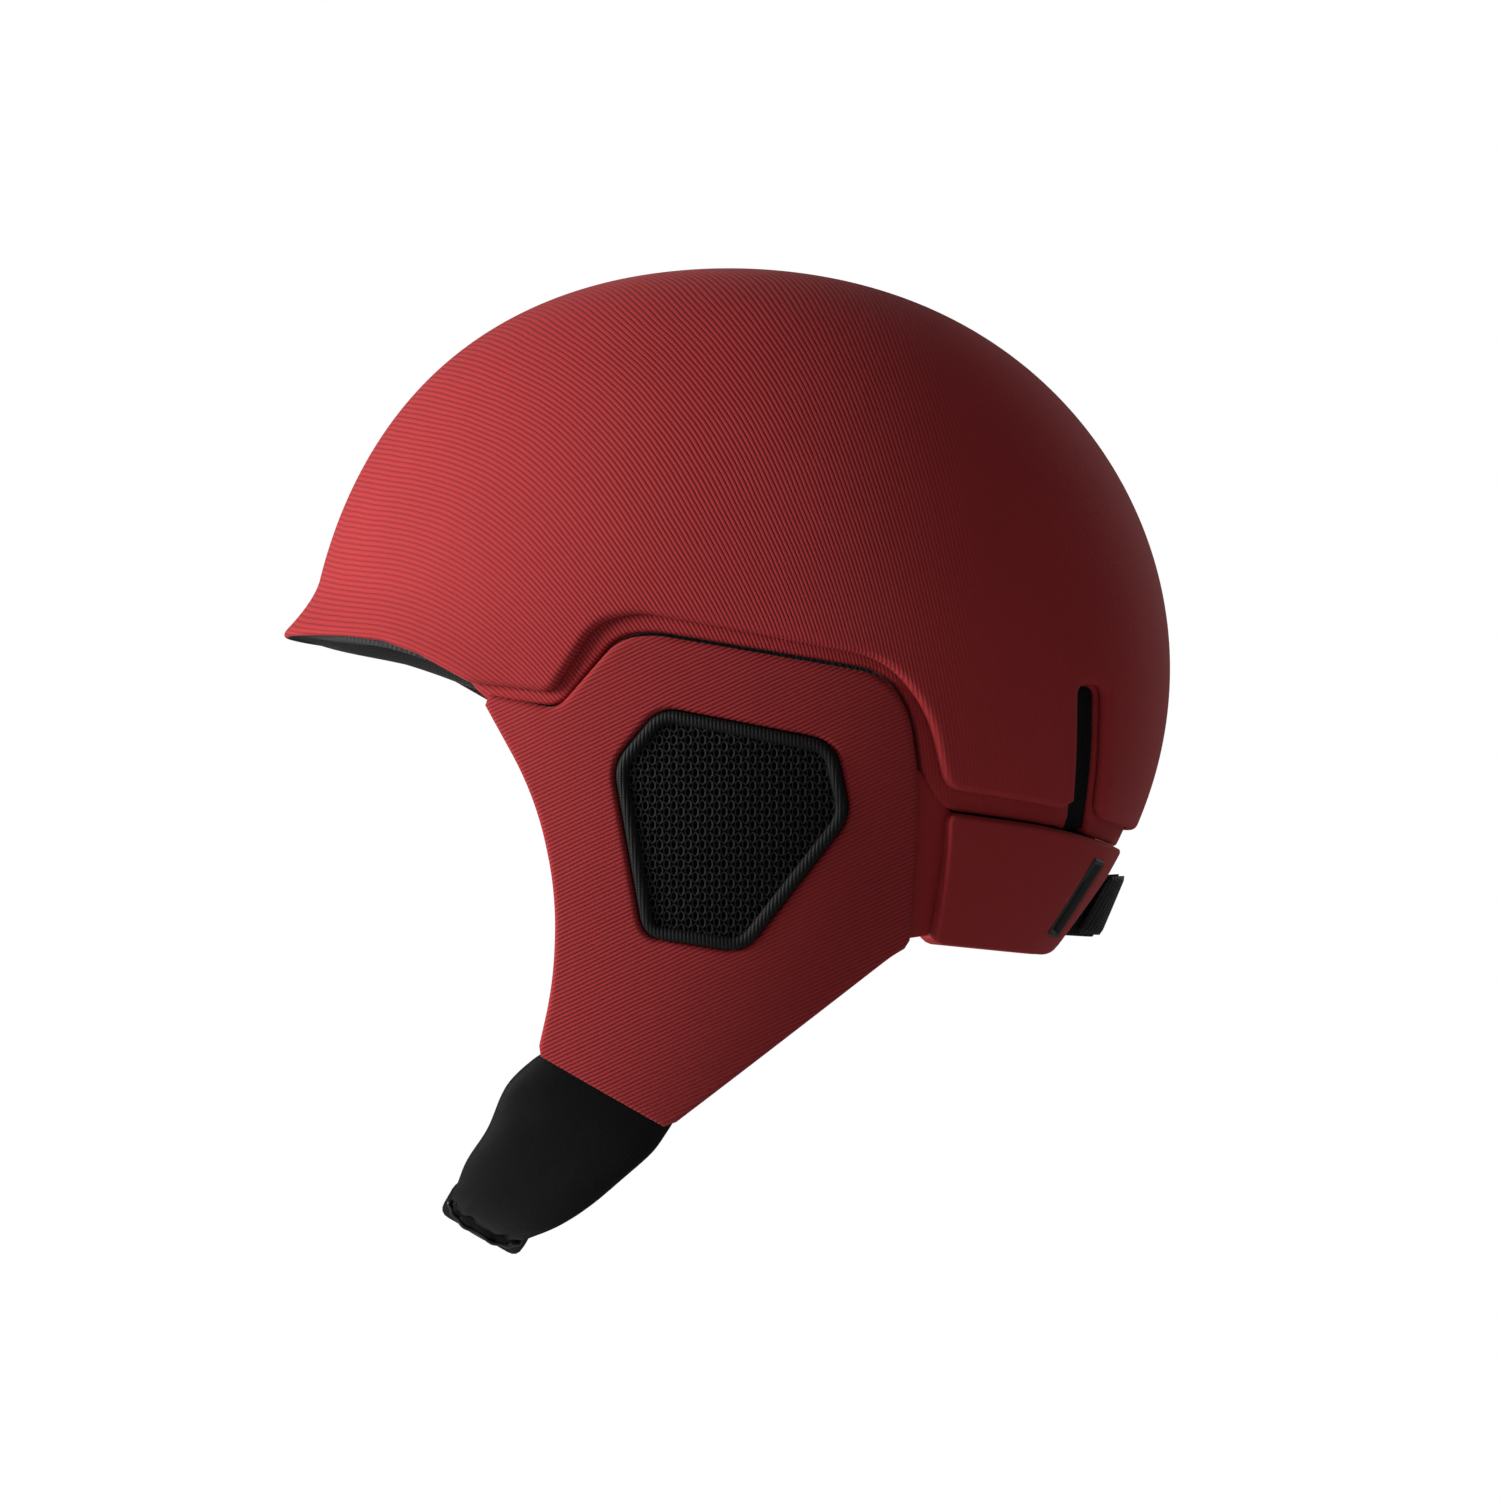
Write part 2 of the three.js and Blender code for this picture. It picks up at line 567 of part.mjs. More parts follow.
function makeBuckle() {
  const surface = BUCKLE.thickness / 2;
  const tip = CLIP.start - TONGUE.length;
  const femaleMagnetX = tip - TONGUE.clearance - MAGNET.depth / 2 - 0.3;
  const wellFloor = surface - BUTTON.height - BUTTON.travel;
  const well = buttonPlug(BUTTON.radius + BUTTON.clearance, wellFloor, surface + 5);
  const slot = boxSolid([4, WEBBING.width + 0.7, WEBBING.thickness + 0.7], [BUCKLE.start, 0, 0]);
  const opening = tongue(TONGUE.clearance);
  const magnetRoom = boxSolid([MAGNET.depth + 1.4, MAGNET.width + 0.7, MAGNET.height + 0.7],
    [femaleMagnetX + 0.35, 0, 0]);
  const body = barrel(BUCKLE.start, BUCKLE.end)
    .subtract(opening).subtract(well).subtract(slot).subtract(magnetRoom);
  addNode("buckle_body", inBuckle(body), PLASTIC);
  addNode("buckle_magnet", inBuckle(magnetBlock(femaleMagnetX, 0)), STEEL);
  const button = buttonPlug(BUTTON.radius, surface - BUTTON.height + BUTTON.proud, surface + BUTTON.proud);
  addNode("buckle_button", inBuckle(button), RUBBER);

  const clipMagnetX = tip + MAGNET.depth / 2 + 0.1;
  const clip = barrel(CLIP.start, CLIP.end).add(tongue(0))
    .subtract(boxSolid([4, WEBBING.width + 0.7, WEBBING.thickness + 0.7], [CLIP.end, 0, 0]))
    .subtract(boxSolid([2 * MAGNET.depth + 1, MAGNET.width + 0.7, 6], [tip, 0, 0])
      .intersect(boxSolid([2 * MAGNET.depth + 1, MAGNET.width + 0.7, MAGNET.height + 0.5], [tip, 0, 0])));
  addNode("buckle_clip", inBuckle(clip), PLASTIC);
  addNode("clip_magnet", inBuckle(magnetBlock(clipMagnetX + 0.1, 0)), STEEL);
}

// ---- assembly ------------------------------------------------------------------------------------

addNode("crown_shell", makeShell(), RED);
addNode("crown_core", makeCore(), RED);
addNode("brim_lining", makeBrimLining(), LINING);
addPair("slit_gusset", makeSlitGusset(), NEOPRENE);
makePads();
addPair("ear_flap", makeFlap(), RED);
addPair("ear_frame", makeEarFrame(), RUBBER);
addPair("ear_mesh", makeEarMesh(), PLASTIC);
addPair("ear_pad", makeEarPad(), FOAM);
addPair("hinge_band", sidePiece(BAND, BAND_OUTLINE, 40), RED);
addPair("neck_panel", makeNeckPanel(), RED);
addPair("slot_eyelet", makeSlotEyelet(), RUBBER);
makeStrap();
addPair("chin_sleeve", makeSleeve(), NEOPRENE);
addPair("sleeve_cuff", makeCuff(), NEOPRENE);
addNode("webbing_left", makeWebbing(CLIP.end - 1.6, WEBBING.end), NEOPRENE);
addNode("webbing_right", makeWebbing(-WEBBING.end, BUCKLE.start + 1.6), NEOPRENE);
makeBuckle();

export default helmet;
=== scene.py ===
import math

import bmesh
import bpy
import numpy as np
from mathutils import Matrix, Vector


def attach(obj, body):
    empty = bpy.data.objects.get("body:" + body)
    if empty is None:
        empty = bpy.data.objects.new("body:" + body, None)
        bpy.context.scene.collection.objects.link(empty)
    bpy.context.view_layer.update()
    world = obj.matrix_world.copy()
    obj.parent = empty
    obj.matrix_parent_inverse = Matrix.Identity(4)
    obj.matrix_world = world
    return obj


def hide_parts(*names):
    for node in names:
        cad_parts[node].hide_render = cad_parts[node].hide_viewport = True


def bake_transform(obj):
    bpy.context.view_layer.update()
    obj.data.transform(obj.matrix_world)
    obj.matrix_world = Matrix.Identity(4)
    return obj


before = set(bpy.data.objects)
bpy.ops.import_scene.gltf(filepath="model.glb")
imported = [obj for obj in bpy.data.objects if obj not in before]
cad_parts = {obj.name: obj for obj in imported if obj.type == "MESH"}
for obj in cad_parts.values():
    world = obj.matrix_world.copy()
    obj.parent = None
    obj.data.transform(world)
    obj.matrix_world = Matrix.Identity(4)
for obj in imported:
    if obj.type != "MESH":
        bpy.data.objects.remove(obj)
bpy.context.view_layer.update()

# A soft-shell helmet for water sports. Sizes are in millimetres until a mesh is made, in the CAD frame:
# +X the wearer's left, -Y the way the face looks, +Z up, with the origin at the centre of the dome.
MM = 0.001

# Dome: half width, squareness of its sections, and the radius of its side profile every 20 degrees,
# counted from the back (+Y) over the top (+Z) to the front and round below.
HALF_WIDTH = 103
SQUARENESS = 2.2
PROFILE_RADII = np.array([128.6, 122.9, 117, 111.6, 108.2, 109.2, 115, 121.7, 125.7,
                          130.5, 140.1, 158, 178, 186, 165, 141.1, 134.6, 132.4])

# Side-view outlines, as (y, z) or (y, z, corner radius). The shell's first three points lie on the dome
# before the brim's flare is added.
SHELL_EDGE = [(-160, -2.5), (-131, -2.7), (-114, -4.5), (-104, -6.4), (-94, -10.6), (-80, -19.2),
              (-56, -22.6, 3), (-43, -2, 9), (-30, 0.6, 5), (42, -13, 12), (54, -29, 8),
              (59.3, -50.6, 4), (93, -55.6, 20), (121, -62.4)]
SHELL_CEILING = [(150, -66), (150, 140), (-160, 140)]
CORE_EDGE = [(-138, 3), (-115, -0.6), (-92, -7.4), (-77.6, -23.8), (-54.5, -26.6, 4), (-37.5, -6, 6),
             (-27, -4.6, 5), (42, -16.6, 10), (50, -28, 8), (53, -47.5, 6), (60, -57.4, 4), (93, -61.8, 20),
             (116, -68)]
CORE_CEILING = [(150, -72), (150, 140), (-160, 140), (-160, 3)]
FLAP_OUTLINE = [(-78.9, -22), (-55, -27.4, 4), (-37, -7.2, 6), (-26.8, -5.8, 5), (41, -17.6, 10),
                (49, -28.4, 8), (51.8, -50, 8), (51.2, -72, 12), (49.8, -97.2, 0.6),
                (44.5, -100.2, 8), (-22.5, -151.8, 0.3),
                (-61.8, -129.2, 0.3), (-56.6, -108, 20), (-55.4, -82, 30), (-61.5, -53, 20)]
PANEL_OUTLINE = [(60.4, -58.1, 2), (93, -62.3, 20), (115.4, -67.9, 1.5), (92.4, -99.4, 5), (84, -98.6, 3),
                 (56.4, -95.7, 2), (59.8, -73, 8)]
PANEL_REAR_X = 20
BAND_OUTLINE = [(49.5, -43.5), (54.5, -47), (58.5, -52.6), (63, -58.5), (61.9, -72), (57.8, -95.4),
                (49.6, -96.4), (51.5, -72)]
WINDOW = [(-24.5, -27.2, 6), (26.6, -37.2, 7), (31.6, -59, 6), (0.6, -98.6, 6), (-29.4, -94, 6),
          (-38.2, -43.4, 6)]
FRAME_WIDTH = 4
SLIT_OUTLINE = [(98.9, -19.2, 3.6), (106.9, -19.2, 3.6), (106.8, -45, 20), (102.9, -76), (96.4, -76),
                (98.9, -45, 20)]
SLIT_COURSE = [(-76, 99.6), (-45, 102.8), (-17, 102.9)]
# Outline of the black sheet behind each neck panel's gap: painted shade.
NECK_GAP_SHADE = [(57, -52), (93, -56), (113, -62), (111, -71), (93, -69), (57, -65)]
SLOT = dict(y=99.2, z=-82, lean=20, length=22, width=4, frame=2.6)

# Brim: how far it stands out, where its flare starts, and the half angle that it spans.
BRIM_REACH = 8.9
BRIM_TOP_Z = 14
BRIM_EDGE_Z = -2.8
BRIM_HALF_ANGLE = math.radians(54)

# Chin sleeve: centre line of the left one down to the buckle, with its width and thickness.
SLEEVE_STATIONS = [((59, -35.3, -133.5), 40, 6.4), ((57, -42.9, -140.9), 45.4, 9.6),
                   ((54.6, -49.9, -148.2), 46, 10.8), ((48.5, -58.8, -159.8), 39.5, 11.4),
                   ((40, -67.9, -168.8), 34, 11.6), ((30, -73.8, -174), 27.4, 11),
                   ((18.4, -76, -175.8), 23.4, 10.2)]
SLEEVE_WIDTH_AXIS = (0.155, -0.856, 0.495)
SLEEVE_THICKNESS_AXIS = (0.988, 0.134, -0.078)
BUCKLE_CENTRE = (0, -77.4, -178.2)
BUCKLE_TILT = math.radians(150)
CUFF = dict(start=14.4, end=18.6, width=23.6, thickness=9.8)

# Nape strap: a shallow arc in plan view that bows out between the panels.
STRAP = dict(width=20.6, thickness=1.8, z=-83.8, y=98.6, curve=0.0083, bow=10.6, bow_half_width=28,
             anchor_x=56, bow_lean=23, end_lean=35)
TAB = dict(half_length=13, height=19.4, thickness=1.4, gap=0.4)

# Layers of the dome: depths of the outer and inner face, rolls of their edges, and the net's step.
SHELL_LAYER = dict(depths=(0, 3), outer_roll=(2.3, 2.2), inner_roll=(0.4, 0.4), step=1.75)
CORE_LAYER = dict(depths=(3.3, 15.7), outer_roll=(1.3, 1.3), inner_roll=(4, 4), step=2.0, wall_steps=4)
FLAP_LAYER = dict(depths=(1.5, 10), outer_roll=(1.7, 1.9), inner_roll=(1.5, 1.5), step=1.2, wall_steps=3)
MESH_BACKING_LAYER = dict(depths=(4.3, 5.1), outer_roll=(0.3, 0.3), inner_roll=(0.2, 0.2), step=2.4)
BAND_LAYER = dict(depths=(5.0, 8.3), outer_roll=(1.0, 1.0), inner_roll=(0.6, 0.6), step=1.0)
PANEL_LAYER = dict(depths=(0, 5), outer_roll=(0.9, 0.9), inner_roll=(0.8, 0.8), step=1.0)
# The black sheet behind each neck panel's gap, which stands for the shade in it.
NECK_GAP_SHADE_LAYER = dict(depths=(7.6, 8.6), outer_roll=(0.3, 0.3), inner_roll=(0.3, 0.3), step=2.2)

# Pads: how full they are, the pressure that swells them and the steps it acts for.
PAD_PRESSURE = 4
PAD_STEPS = 15

RED = (0.41, 0.029, 0.033)
BLACK = (0.0042, 0.0042, 0.0044)
LINING_GREY = (0.032, 0.033, 0.034)
FLAP_RIB_ANGLE = math.radians(25)

# The dome's ribs in the side view, as (y, degrees that they fall towards the rear): level round the
# front, upright behind the ears.
RIB_COURSE = [(-104, 3), (-89, 20), (-75, 30), (-53, 43), (-25, 55), (9, 69), (44, 86), (60, 90)]
RIB_POWERS = [(i, j, k) for i in (0, 2, 4) for j in range(6) for k in range(6) if 0 < i + j + k <= 5]


# ---- the dome's surface --------------------------------------------------------------------------

def profile_radius(angle):
    """Radius of the side profile, a cubic B-spline steered by the driving radii."""
    count = len(PROFILE_RADII)
    turns = np.mod(angle, 2 * np.pi) / (2 * np.pi) * count
    first = np.floor(turns).astype(int)
    u = turns - first
    weights = [(1 - u) ** 3, 3 * u ** 3 - 6 * u * u + 4, -3 * u ** 3 + 3 * u * u + 3 * u + 1, u ** 3]
    return sum(w / 6 * PROFILE_RADII[(first - 1 + k) % count] for k, w in enumerate(weights))


def share_of_dome(points):
    """1 on the dome's surface, less inside it."""
    flat = np.hypot(points[:, 1], points[:, 2])
    radius = profile_radius(np.arctan2(points[:, 2], points[:, 1]))
    return (np.abs(points[:, 0]) / HALF_WIDTH) ** SQUARENESS + (flat / radius) ** SQUARENESS


def on_dome(points):
    """Points moved along the line to the origin until they lie on the surface."""
    return points * (share_of_dome(points) ** (-1 / SQUARENESS))[:, None]


def dome_normals(points):
    step = 0.05
    slope = np.stack([share_of_dome(points + d) - share_of_dome(points - d)
                      for d in np.eye(3) * step], axis=1)
    return slope / np.linalg.norm(slope, axis=1)[:, None]


def half_width(y, z, depth=0.0):
    y, z = np.asarray(y, float), np.asarray(z, float)
    share = np.hypot(y, z) / (profile_radius(np.arctan2(z, y)) - depth)
    return (HALF_WIDTH - depth) * np.clip(1 - share ** SQUARENESS, 0, None) ** (1 / SQUARENESS)


def side_point(y, z):
    """Points of the left half of the surface from their places in the side view."""
    return np.stack([half_width(y, z), np.asarray(y, float), np.asarray(z, float)], axis=-1)


def brim_edge(turn):
    """Height of the brim's edge at an angle from straight ahead."""
    return BRIM_EDGE_Z - 85 * (1 - np.cos(turn)) ** 1.47


def flare(points):
    """Sideways push that turns the dome's front edge into the brim."""
    turn = np.arctan2(points[:, 0], -points[:, 1])
    fade = np.cos(np.clip(np.abs(turn) / BRIM_HALF_ANGLE, 0, 1) * np.pi / 2) ** 1.1
    edge = brim_edge(np.clip(turn, -1, 1))
    drop = np.clip((BRIM_TOP_Z - points[:, 2]) / (BRIM_TOP_Z - edge), 0, 1.15)
    push = BRIM_REACH * fade * drop ** 1.7
    outward = np.stack([np.sin(turn), -np.cos(turn), np.zeros_like(turn)], axis=1)
    return outward * push[:, None]


def power_products(points):
    """Products of powers of the coordinates, even in x, one column for each of RIB_POWERS."""
    x, y, z = points.T / 100
    return np.stack([x ** i * y ** j * z ** k for i, j, k in RIB_POWERS], axis=1)


def fit_ribs():
    """Weights of the power products whose sum grows evenly straight across the ribs."""
    y, z = np.meshgrid(np.linspace(-136, 84, 50), np.linspace(-60, 104, 34))
    side = side_point(y.ravel(), z.ravel())
    side = side[side[:, 0] > 8]
    angle = np.radians(np.interp(side[:, 1], *zip(*RIB_COURSE)))
    normal = dome_normals(side)
    sideways = (normal[:, 2] * np.sin(angle) - normal[:, 1] * np.cos(angle)) / normal[:, 0]
    along = np.stack([sideways, np.cos(angle), -np.sin(angle)], axis=1)

    turn = np.linspace(-0.5, 3.2, 90)
    middle = on_dome(np.stack([np.full_like(turn, 1.0), np.cos(turn), np.sin(turn)], axis=1) * 50)
    middle[:, 0] = 0
    middle = on_dome(middle)
    points = np.vstack([side, middle])
    along = np.vstack([along, np.tile([1.0, 0.0, 0.0], (len(middle), 1))])
    normal = dome_normals(points)
    across = np.cross(normal, along)
    across /= np.linalg.norm(across, axis=1)[:, None]
    step = 0.05
    slope = np.stack([power_products(points + d) - power_products(points - d)
                      for d in np.eye(3) * step], axis=2) / (2 * step)
    slope -= (slope @ normal[:, :, None]) * normal[:, None, :]
    rows = slope.transpose(0, 2, 1).reshape(-1, len(RIB_POWERS))
    return np.linalg.lstsq(rows, across.reshape(-1), rcond=1e-7)[0]


def store_ribs(obj, points):
    """Rib position of every point, in metres, for the dome's cloth."""
    places = power_products(on_dome(points)) @ fit_ribs() * MM
    attribute = obj.data.attributes.new("rib_place", "FLOAT", "POINT")
    attribute.data.foreach_set("value", places.astype(np.float32))


# ---- outlines and regions ------------------------------------------------------------------------

def rounded(corners, inset=0.0, arc_steps=8):
    """Closed outline through the corners, moved inwards by inset, with each given radius rounded."""
    bare = np.array([c[:2] for c in corners], float)
    radii = [c[2] if len(c) > 2 else 0 for c in corners]
    following = np.roll(bare, -1, axis=0)
    turn = np.sign(np.sum(bare[:, 0] * following[:, 1] - following[:, 0] * bare[:, 1]))
    before = bare - np.roll(bare, 1, axis=0)
    onward = following - bare
    before /= np.linalg.norm(before, axis=1)[:, None]
    onward /= np.linalg.norm(onward, axis=1)[:, None]
    inward = np.stack([-(before + onward)[:, 1], (before + onward)[:, 0]], axis=1) * turn
    inward /= np.linalg.norm(inward, axis=1)[:, None]
    share = turn * (-before[:, 1] * inward[:, 0] + before[:, 0] * inward[:, 1])
    moved = bare + inward * (inset / share)[:, None]
    outline = []
    for i, corner in enumerate(moved):
        last, after = moved[i - 1], moved[(i + 1) % len(moved)]
        radius = max(radii[i] - inset * 0.5, 0.5) if radii[i] else 0
        reach = min(radius, np.linalg.norm(corner - last) / 2.01, np.linalg.norm(after - corner) / 2.01)
        start = corner + (last - corner) / np.linalg.norm(last - corner) * reach
        end = corner + (after - corner) / np.linalg.norm(after - corner) * reach
        if reach == 0:
            outline.append(corner)
            continue
        for t in np.linspace(0, 1, arc_steps + 1):
            outline.append((1 - t) ** 2 * start + 2 * t * (1 - t) * corner + t * t * end)
    return np.array(outline)


def resampled(outline, step):
    """The same closed outline with evenly spaced points."""
    closed = np.vstack([outline, outline[:1]])
    lengths = np.concatenate([[0], np.cumsum(np.linalg.norm(np.diff(closed, axis=0), axis=1))])
    at = np.linspace(0, lengths[-1], int(round(lengths[-1] / step)) + 1)[:-1]
    return np.stack([np.interp(at, lengths, closed[:, k]) for k in range(2)], axis=1)


def outline_distance(yz, outline):
    """Distance to an outline, positive inside, with the direction in which it grows."""
    start = outline
    edge = np.roll(outline, -1, axis=0) - outline
    edge_sq = np.maximum((edge ** 2).sum(axis=1), 1e-12)
    distance = np.empty(len(yz))
    slope = np.empty((len(yz), 2))
    for first in range(0, len(yz), 8192):
        part = yz[first:first + 8192]
        rel = part[:, None, :] - start[None]
        t = np.clip((rel * edge).sum(axis=2) / edge_sq, 0, 1)
        off = rel - t[..., None] * edge
        nearest = np.argmin((off ** 2).sum(axis=2), axis=1)
        rows = np.arange(len(part))
        off = off[rows, nearest]
        span = np.linalg.norm(off, axis=1)
        above = start[None, :, 1] > part[:, 1:]
        rising = np.where(np.abs(edge[:, 1]) < 1e-9, 1e-9, edge[:, 1])
        crossing = start[:, 0] + (part[:, 1:] - start[:, 1]) * edge[:, 0] / rising
        flips = (above != np.roll(above, -1, axis=1)) & (part[:, :1] < crossing)
        inside = np.where(flips.sum(axis=1) % 2 == 1, 1.0, -1.0)
        distance[first:first + 8192] = span * inside
        slope[first:first + 8192] = off / np.maximum(span, 1e-9)[:, None] * inside[:, None]
    return distance, slope


class Region:
    """Part of the dome's surface inside one side-view outline and outside others."""

    def __init__(self, inside, outside=(), min_x=None, holes_from_x=30):
        self.inside = inside
        self.outside = outside
        self.min_x = min_x
        self.holes_from_x = holes_from_x

    def measure(self, points):
        distance, slope = outline_distance(points[:, 1:], self.inside)
        slope = np.column_stack([np.zeros(len(points)), slope])
        for outline in self.outside:
            hole, hole_slope = outline_distance(points[:, 1:], outline)
            closer = (-hole < distance) & (np.abs(points[:, 0]) > self.holes_from_x)
            distance = np.where(closer, -hole, distance)
            slope[closer, 1:] = -hole_slope[closer]
        if self.min_x is not None:
            closer = points[:, 0] - self.min_x < distance
            distance = np.where(closer, points[:, 0] - self.min_x, distance)
            slope[closer] = (1, 0, 0)
        return distance, slope

    def slide(self, points, level):
        """Points moved over the surface until their distance from the edge is the level."""
        for _ in range(4):
            distance, slope = self.measure(points)
            normal = dome_normals(points)
            along = slope - (slope * normal).sum(axis=1)[:, None] * normal
            steep = np.maximum((along ** 2).sum(axis=1), 0.2)
            points = on_dome(points + along * ((level - distance) / steep)[:, None])
        return points


def cube_grid(step):
    """Even net of quads over the whole dome, from the six faces of a cube."""
    count = int(round(190 / step))
    angles = np.tan(np.linspace(-np.pi / 4, np.pi / 4, count + 1))
    u, v = np.meshgrid(angles, angles, indexing="ij")
    ones = np.ones_like(u)
    sides = [(ones, u, v), (-ones, -u, v), (-u, ones, v), (u, -ones, v), (-v, u, ones), (v, u, -ones)]
    points = np.concatenate([np.stack(s, axis=-1).reshape(-1, 3) for s in sides])
    points /= np.linalg.norm(points, axis=1)[:, None]
    corner = (np.arange(count)[:, None] * (count + 1) + np.arange(count)).reshape(-1)
    quad = np.stack([corner, corner + count + 1, corner + count + 2, corner + 1], axis=1)
    quads = np.concatenate([quad + k * (count + 1) ** 2 for k in range(6)])
    _, first, where = np.unique(np.round(points, 6), axis=0, return_index=True, return_inverse=True)
    return on_dome(points[first]), where.reshape(-1)[quads]


def clipped(points, quads, region, level, step):
    """The part of the net that is at least a level inside the region, cut along a smooth line."""
    value = region.measure(points)[0] - level
    near = (value[quads] > 0).any(axis=1)
    used, quads = np.unique(quads[near], return_inverse=True)
    quads = quads.reshape(-1, 4)
    points = points[used]
    value = value[used]
    close = np.abs(value) < 0.3 * step
    points[close] = region.slide(points[close], level)
    value[close] = 0
    inside = value >= 0
    whole = inside[quads].all(axis=1)
    faces = quads[whole].tolist()
    added, cuts = [], {}

    def crossing(a, b):
        key = (min(a, b), max(a, b))
        if key not in cuts:
            t = value[key[0]] / (value[key[0]] - value[key[1]])
            added.append(points[key[0]] * (1 - t) + points[key[1]] * t)
            cuts[key] = len(points) + len(added) - 1
        return cuts[key]

    for quad in quads[~whole & inside[quads].any(axis=1)].tolist():
        face = []
        for a, b in zip(quad, quad[1:] + quad[:1]):
            if inside[a]:
                face.append(a)
            if inside[a] != inside[b] and value[a] != 0 and value[b] != 0:
                face.append(crossing(a, b))
        if len(face) > 2:
            faces.append(face)
    if added:
        points = np.vstack([points, region.slide(np.array(added), level)])
    return points, faces


def border_edges(faces):
    """Edges used by one face only, each in its face's direction."""
    seen = {}
    for face in faces:
        for a, b in zip(face, face[1:] + face[:1]):
            seen[(a, b)] = seen.get((a, b), 0) + 1
    return [(a, b) for a, b in seen if (b, a) not in seen]


def compact(points, faces):
    used = sorted({i for face in faces for i in face})
    place = {old: new for new, old in enumerate(used)}
    return points[used], [[place[i] for i in face] for face in faces]


def layer(region, depths, outer_roll, inner_roll, step, push=None, wall_steps=2):
    """Closed layer of the dome: outer face, rolled edges, wall and inner face.

    A roll is (distance over the surface, depth). Returns points, faces and for each face how far
    round the edge it lies: 0 on the outer face, 1 on the inner face and between them on the edge.
    """
    outer, inner = depths
    level = outer_roll[0]
    points, faces = clipped(*cube_grid(step), region, level, step)
    points, faces = compact(points, faces)
    edges = border_edges(faces)
    rim = sorted({i for edge in edges for i in edge})
    column = {i: k for k, i in enumerate(rim)}
    turns = np.linspace(0, np.pi / 2, 6)[1:]
    rows = [(level * (1 - math.sin(t)), outer + outer_roll[1] * (1 - math.cos(t))) for t in turns]
    wall_start = outer + outer_roll[1]
    wall_end = inner - inner_roll[1]
    rows += [(0, wall_start + (wall_end - wall_start) * k / wall_steps) for k in range(1, wall_steps + 1)]
    rows += [(inner_roll[0] * (1 - math.cos(t)), wall_end + inner_roll[1] * math.sin(t))
             for t in turns[1::2]]
    if inner_roll[0] < level:
        rows.append((level, inner))

    def at_depth(base, depth):
        placed = base - dome_normals(base) * depth
        return placed + push(base) if push else placed

    count = len(points)
    blocks = [at_depth(points, outer)]
    rim_points = points[rim]
    row_starts = []
    total = count
    all_faces = list(faces)
    for distance, depth in rows[:-1]:
        rim_points = region.slide(rim_points, distance)
        blocks.append(at_depth(rim_points, depth))
        row_starts.append(total)
        total += len(rim)
    inner_start = total
    blocks.append(at_depth(points, inner))
    turned = [0.0] * len(faces)
    for a, b in edges:
        ring_a = [a] + [s + column[a] for s in row_starts] + [inner_start + a]
        ring_b = [b] + [s + column[b] for s in row_starts] + [inner_start + b]
        for k in range(len(ring_a) - 1):
            all_faces.append([ring_b[k], ring_a[k], ring_a[k + 1], ring_b[k + 1]])
            turned.append((k + 0.5) / len(ring_a))
    all_faces += [[inner_start + i for i in reversed(face)] for face in faces]
    turned += [1.0] * len(faces)
    return np.vstack(blocks), all_faces, np.array(turned)


# ---- meshes and pieces ---------------------------------------------------------------------------

def make_object(name, points, faces, materials, second=None, smooth=True):
    """Object from points in millimetres; the faces that second picks take the second material."""
    mesh = bpy.data.meshes.new(name)
    mesh.from_pydata((np.asarray(points) * MM).tolist(), [], [list(f) for f in faces])
    for material in materials:
        mesh.materials.append(material)
    if second is not None:
        mesh.polygons.foreach_set("material_index", np.asarray(second, dtype=np.int32))
    mesh.polygons.foreach_set("use_smooth", [smooth] * len(mesh.polygons))
    mesh.update()
    obj = bpy.data.objects.new(name, mesh)
    bpy.context.collection.objects.link(obj)
    return obj


def mirrored(points, faces):
    return points * np.array([-1, 1, 1]), [list(reversed(face)) for face in faces]


def place_piece(obj, body, nodes=()):
    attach(obj, body)
    if nodes:
        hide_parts(*nodes)


def place_pair(made, body, node=None):
    """Places a pair; {} in the body's name stands for the side, and node is a CAD node's stem."""
    for side, obj in made.items():
        place_piece(obj, body.format(side), [f"{node}_{side}"] if node else ())


def pair(name, points, faces, materials, second=None):
    """Objects name_left and name_right, the right one a mirror image."""
    left = make_object(f"{name}_left", points, faces, materials, second)
    right = make_object(f"{name}_right", *mirrored(points, faces), materials, second)
    return {"left": left, "right": right}


def loft(loops, closed_length=False):
    """Points and faces through equal closed loops, capped unless the length is closed too."""
    loops = [np.asarray(loop, float) for loop in loops]
    count = len(loops[0])
    faces = []
    last = len(loops) if closed_length else len(loops) - 1
    for i in range(last):
        a0 = i * count
        b0 = ((i + 1) % len(loops)) * count
        for j in range(count):
            k = (j + 1) % count
            faces.append([a0 + j, a0 + k, b0 + k, b0 + j])
    if not closed_length:
        faces.append(list(range(count - 1, -1, -1)))
        faces.append([(len(loops) - 1) * count + j for j in range(count)])
    return np.vstack(loops), faces


def outward_facing(points, faces):
    """Faces turned so that the closed form's volume is positive."""
    volume = 0.0
    for face in faces:
        a = points[face[0]]
        for i in range(1, len(face) - 1):
            volume += np.dot(a, np.cross(points[face[i]], points[face[i + 1]]))
    return faces if volume > 0 else [list(reversed(face)) for face in faces]


def lofted_pair(name, loops, finish, closed_length=False):
    points, faces = loft(loops, closed_length)
    return pair(name, points, outward_facing(points, faces), [finish])


def sharp_by_angle(mesh, degrees):
    """Marks edges sharper than an angle, so that smooth shading stops there."""
    bm = bmesh.new()
    bm.from_mesh(mesh)
    for edge in bm.edges:
        if len(edge.link_faces) == 2:
            edge.smooth = edge.calc_face_angle() < math.radians(degrees)
    bm.to_mesh(mesh)
    bm.free()


def apply_modifiers(obj):
    evaluated = obj.evaluated_get(bpy.context.evaluated_depsgraph_get())
    mesh = bpy.data.meshes.new_from_object(evaluated)
    obj.modifiers.clear()
    obj.data = mesh


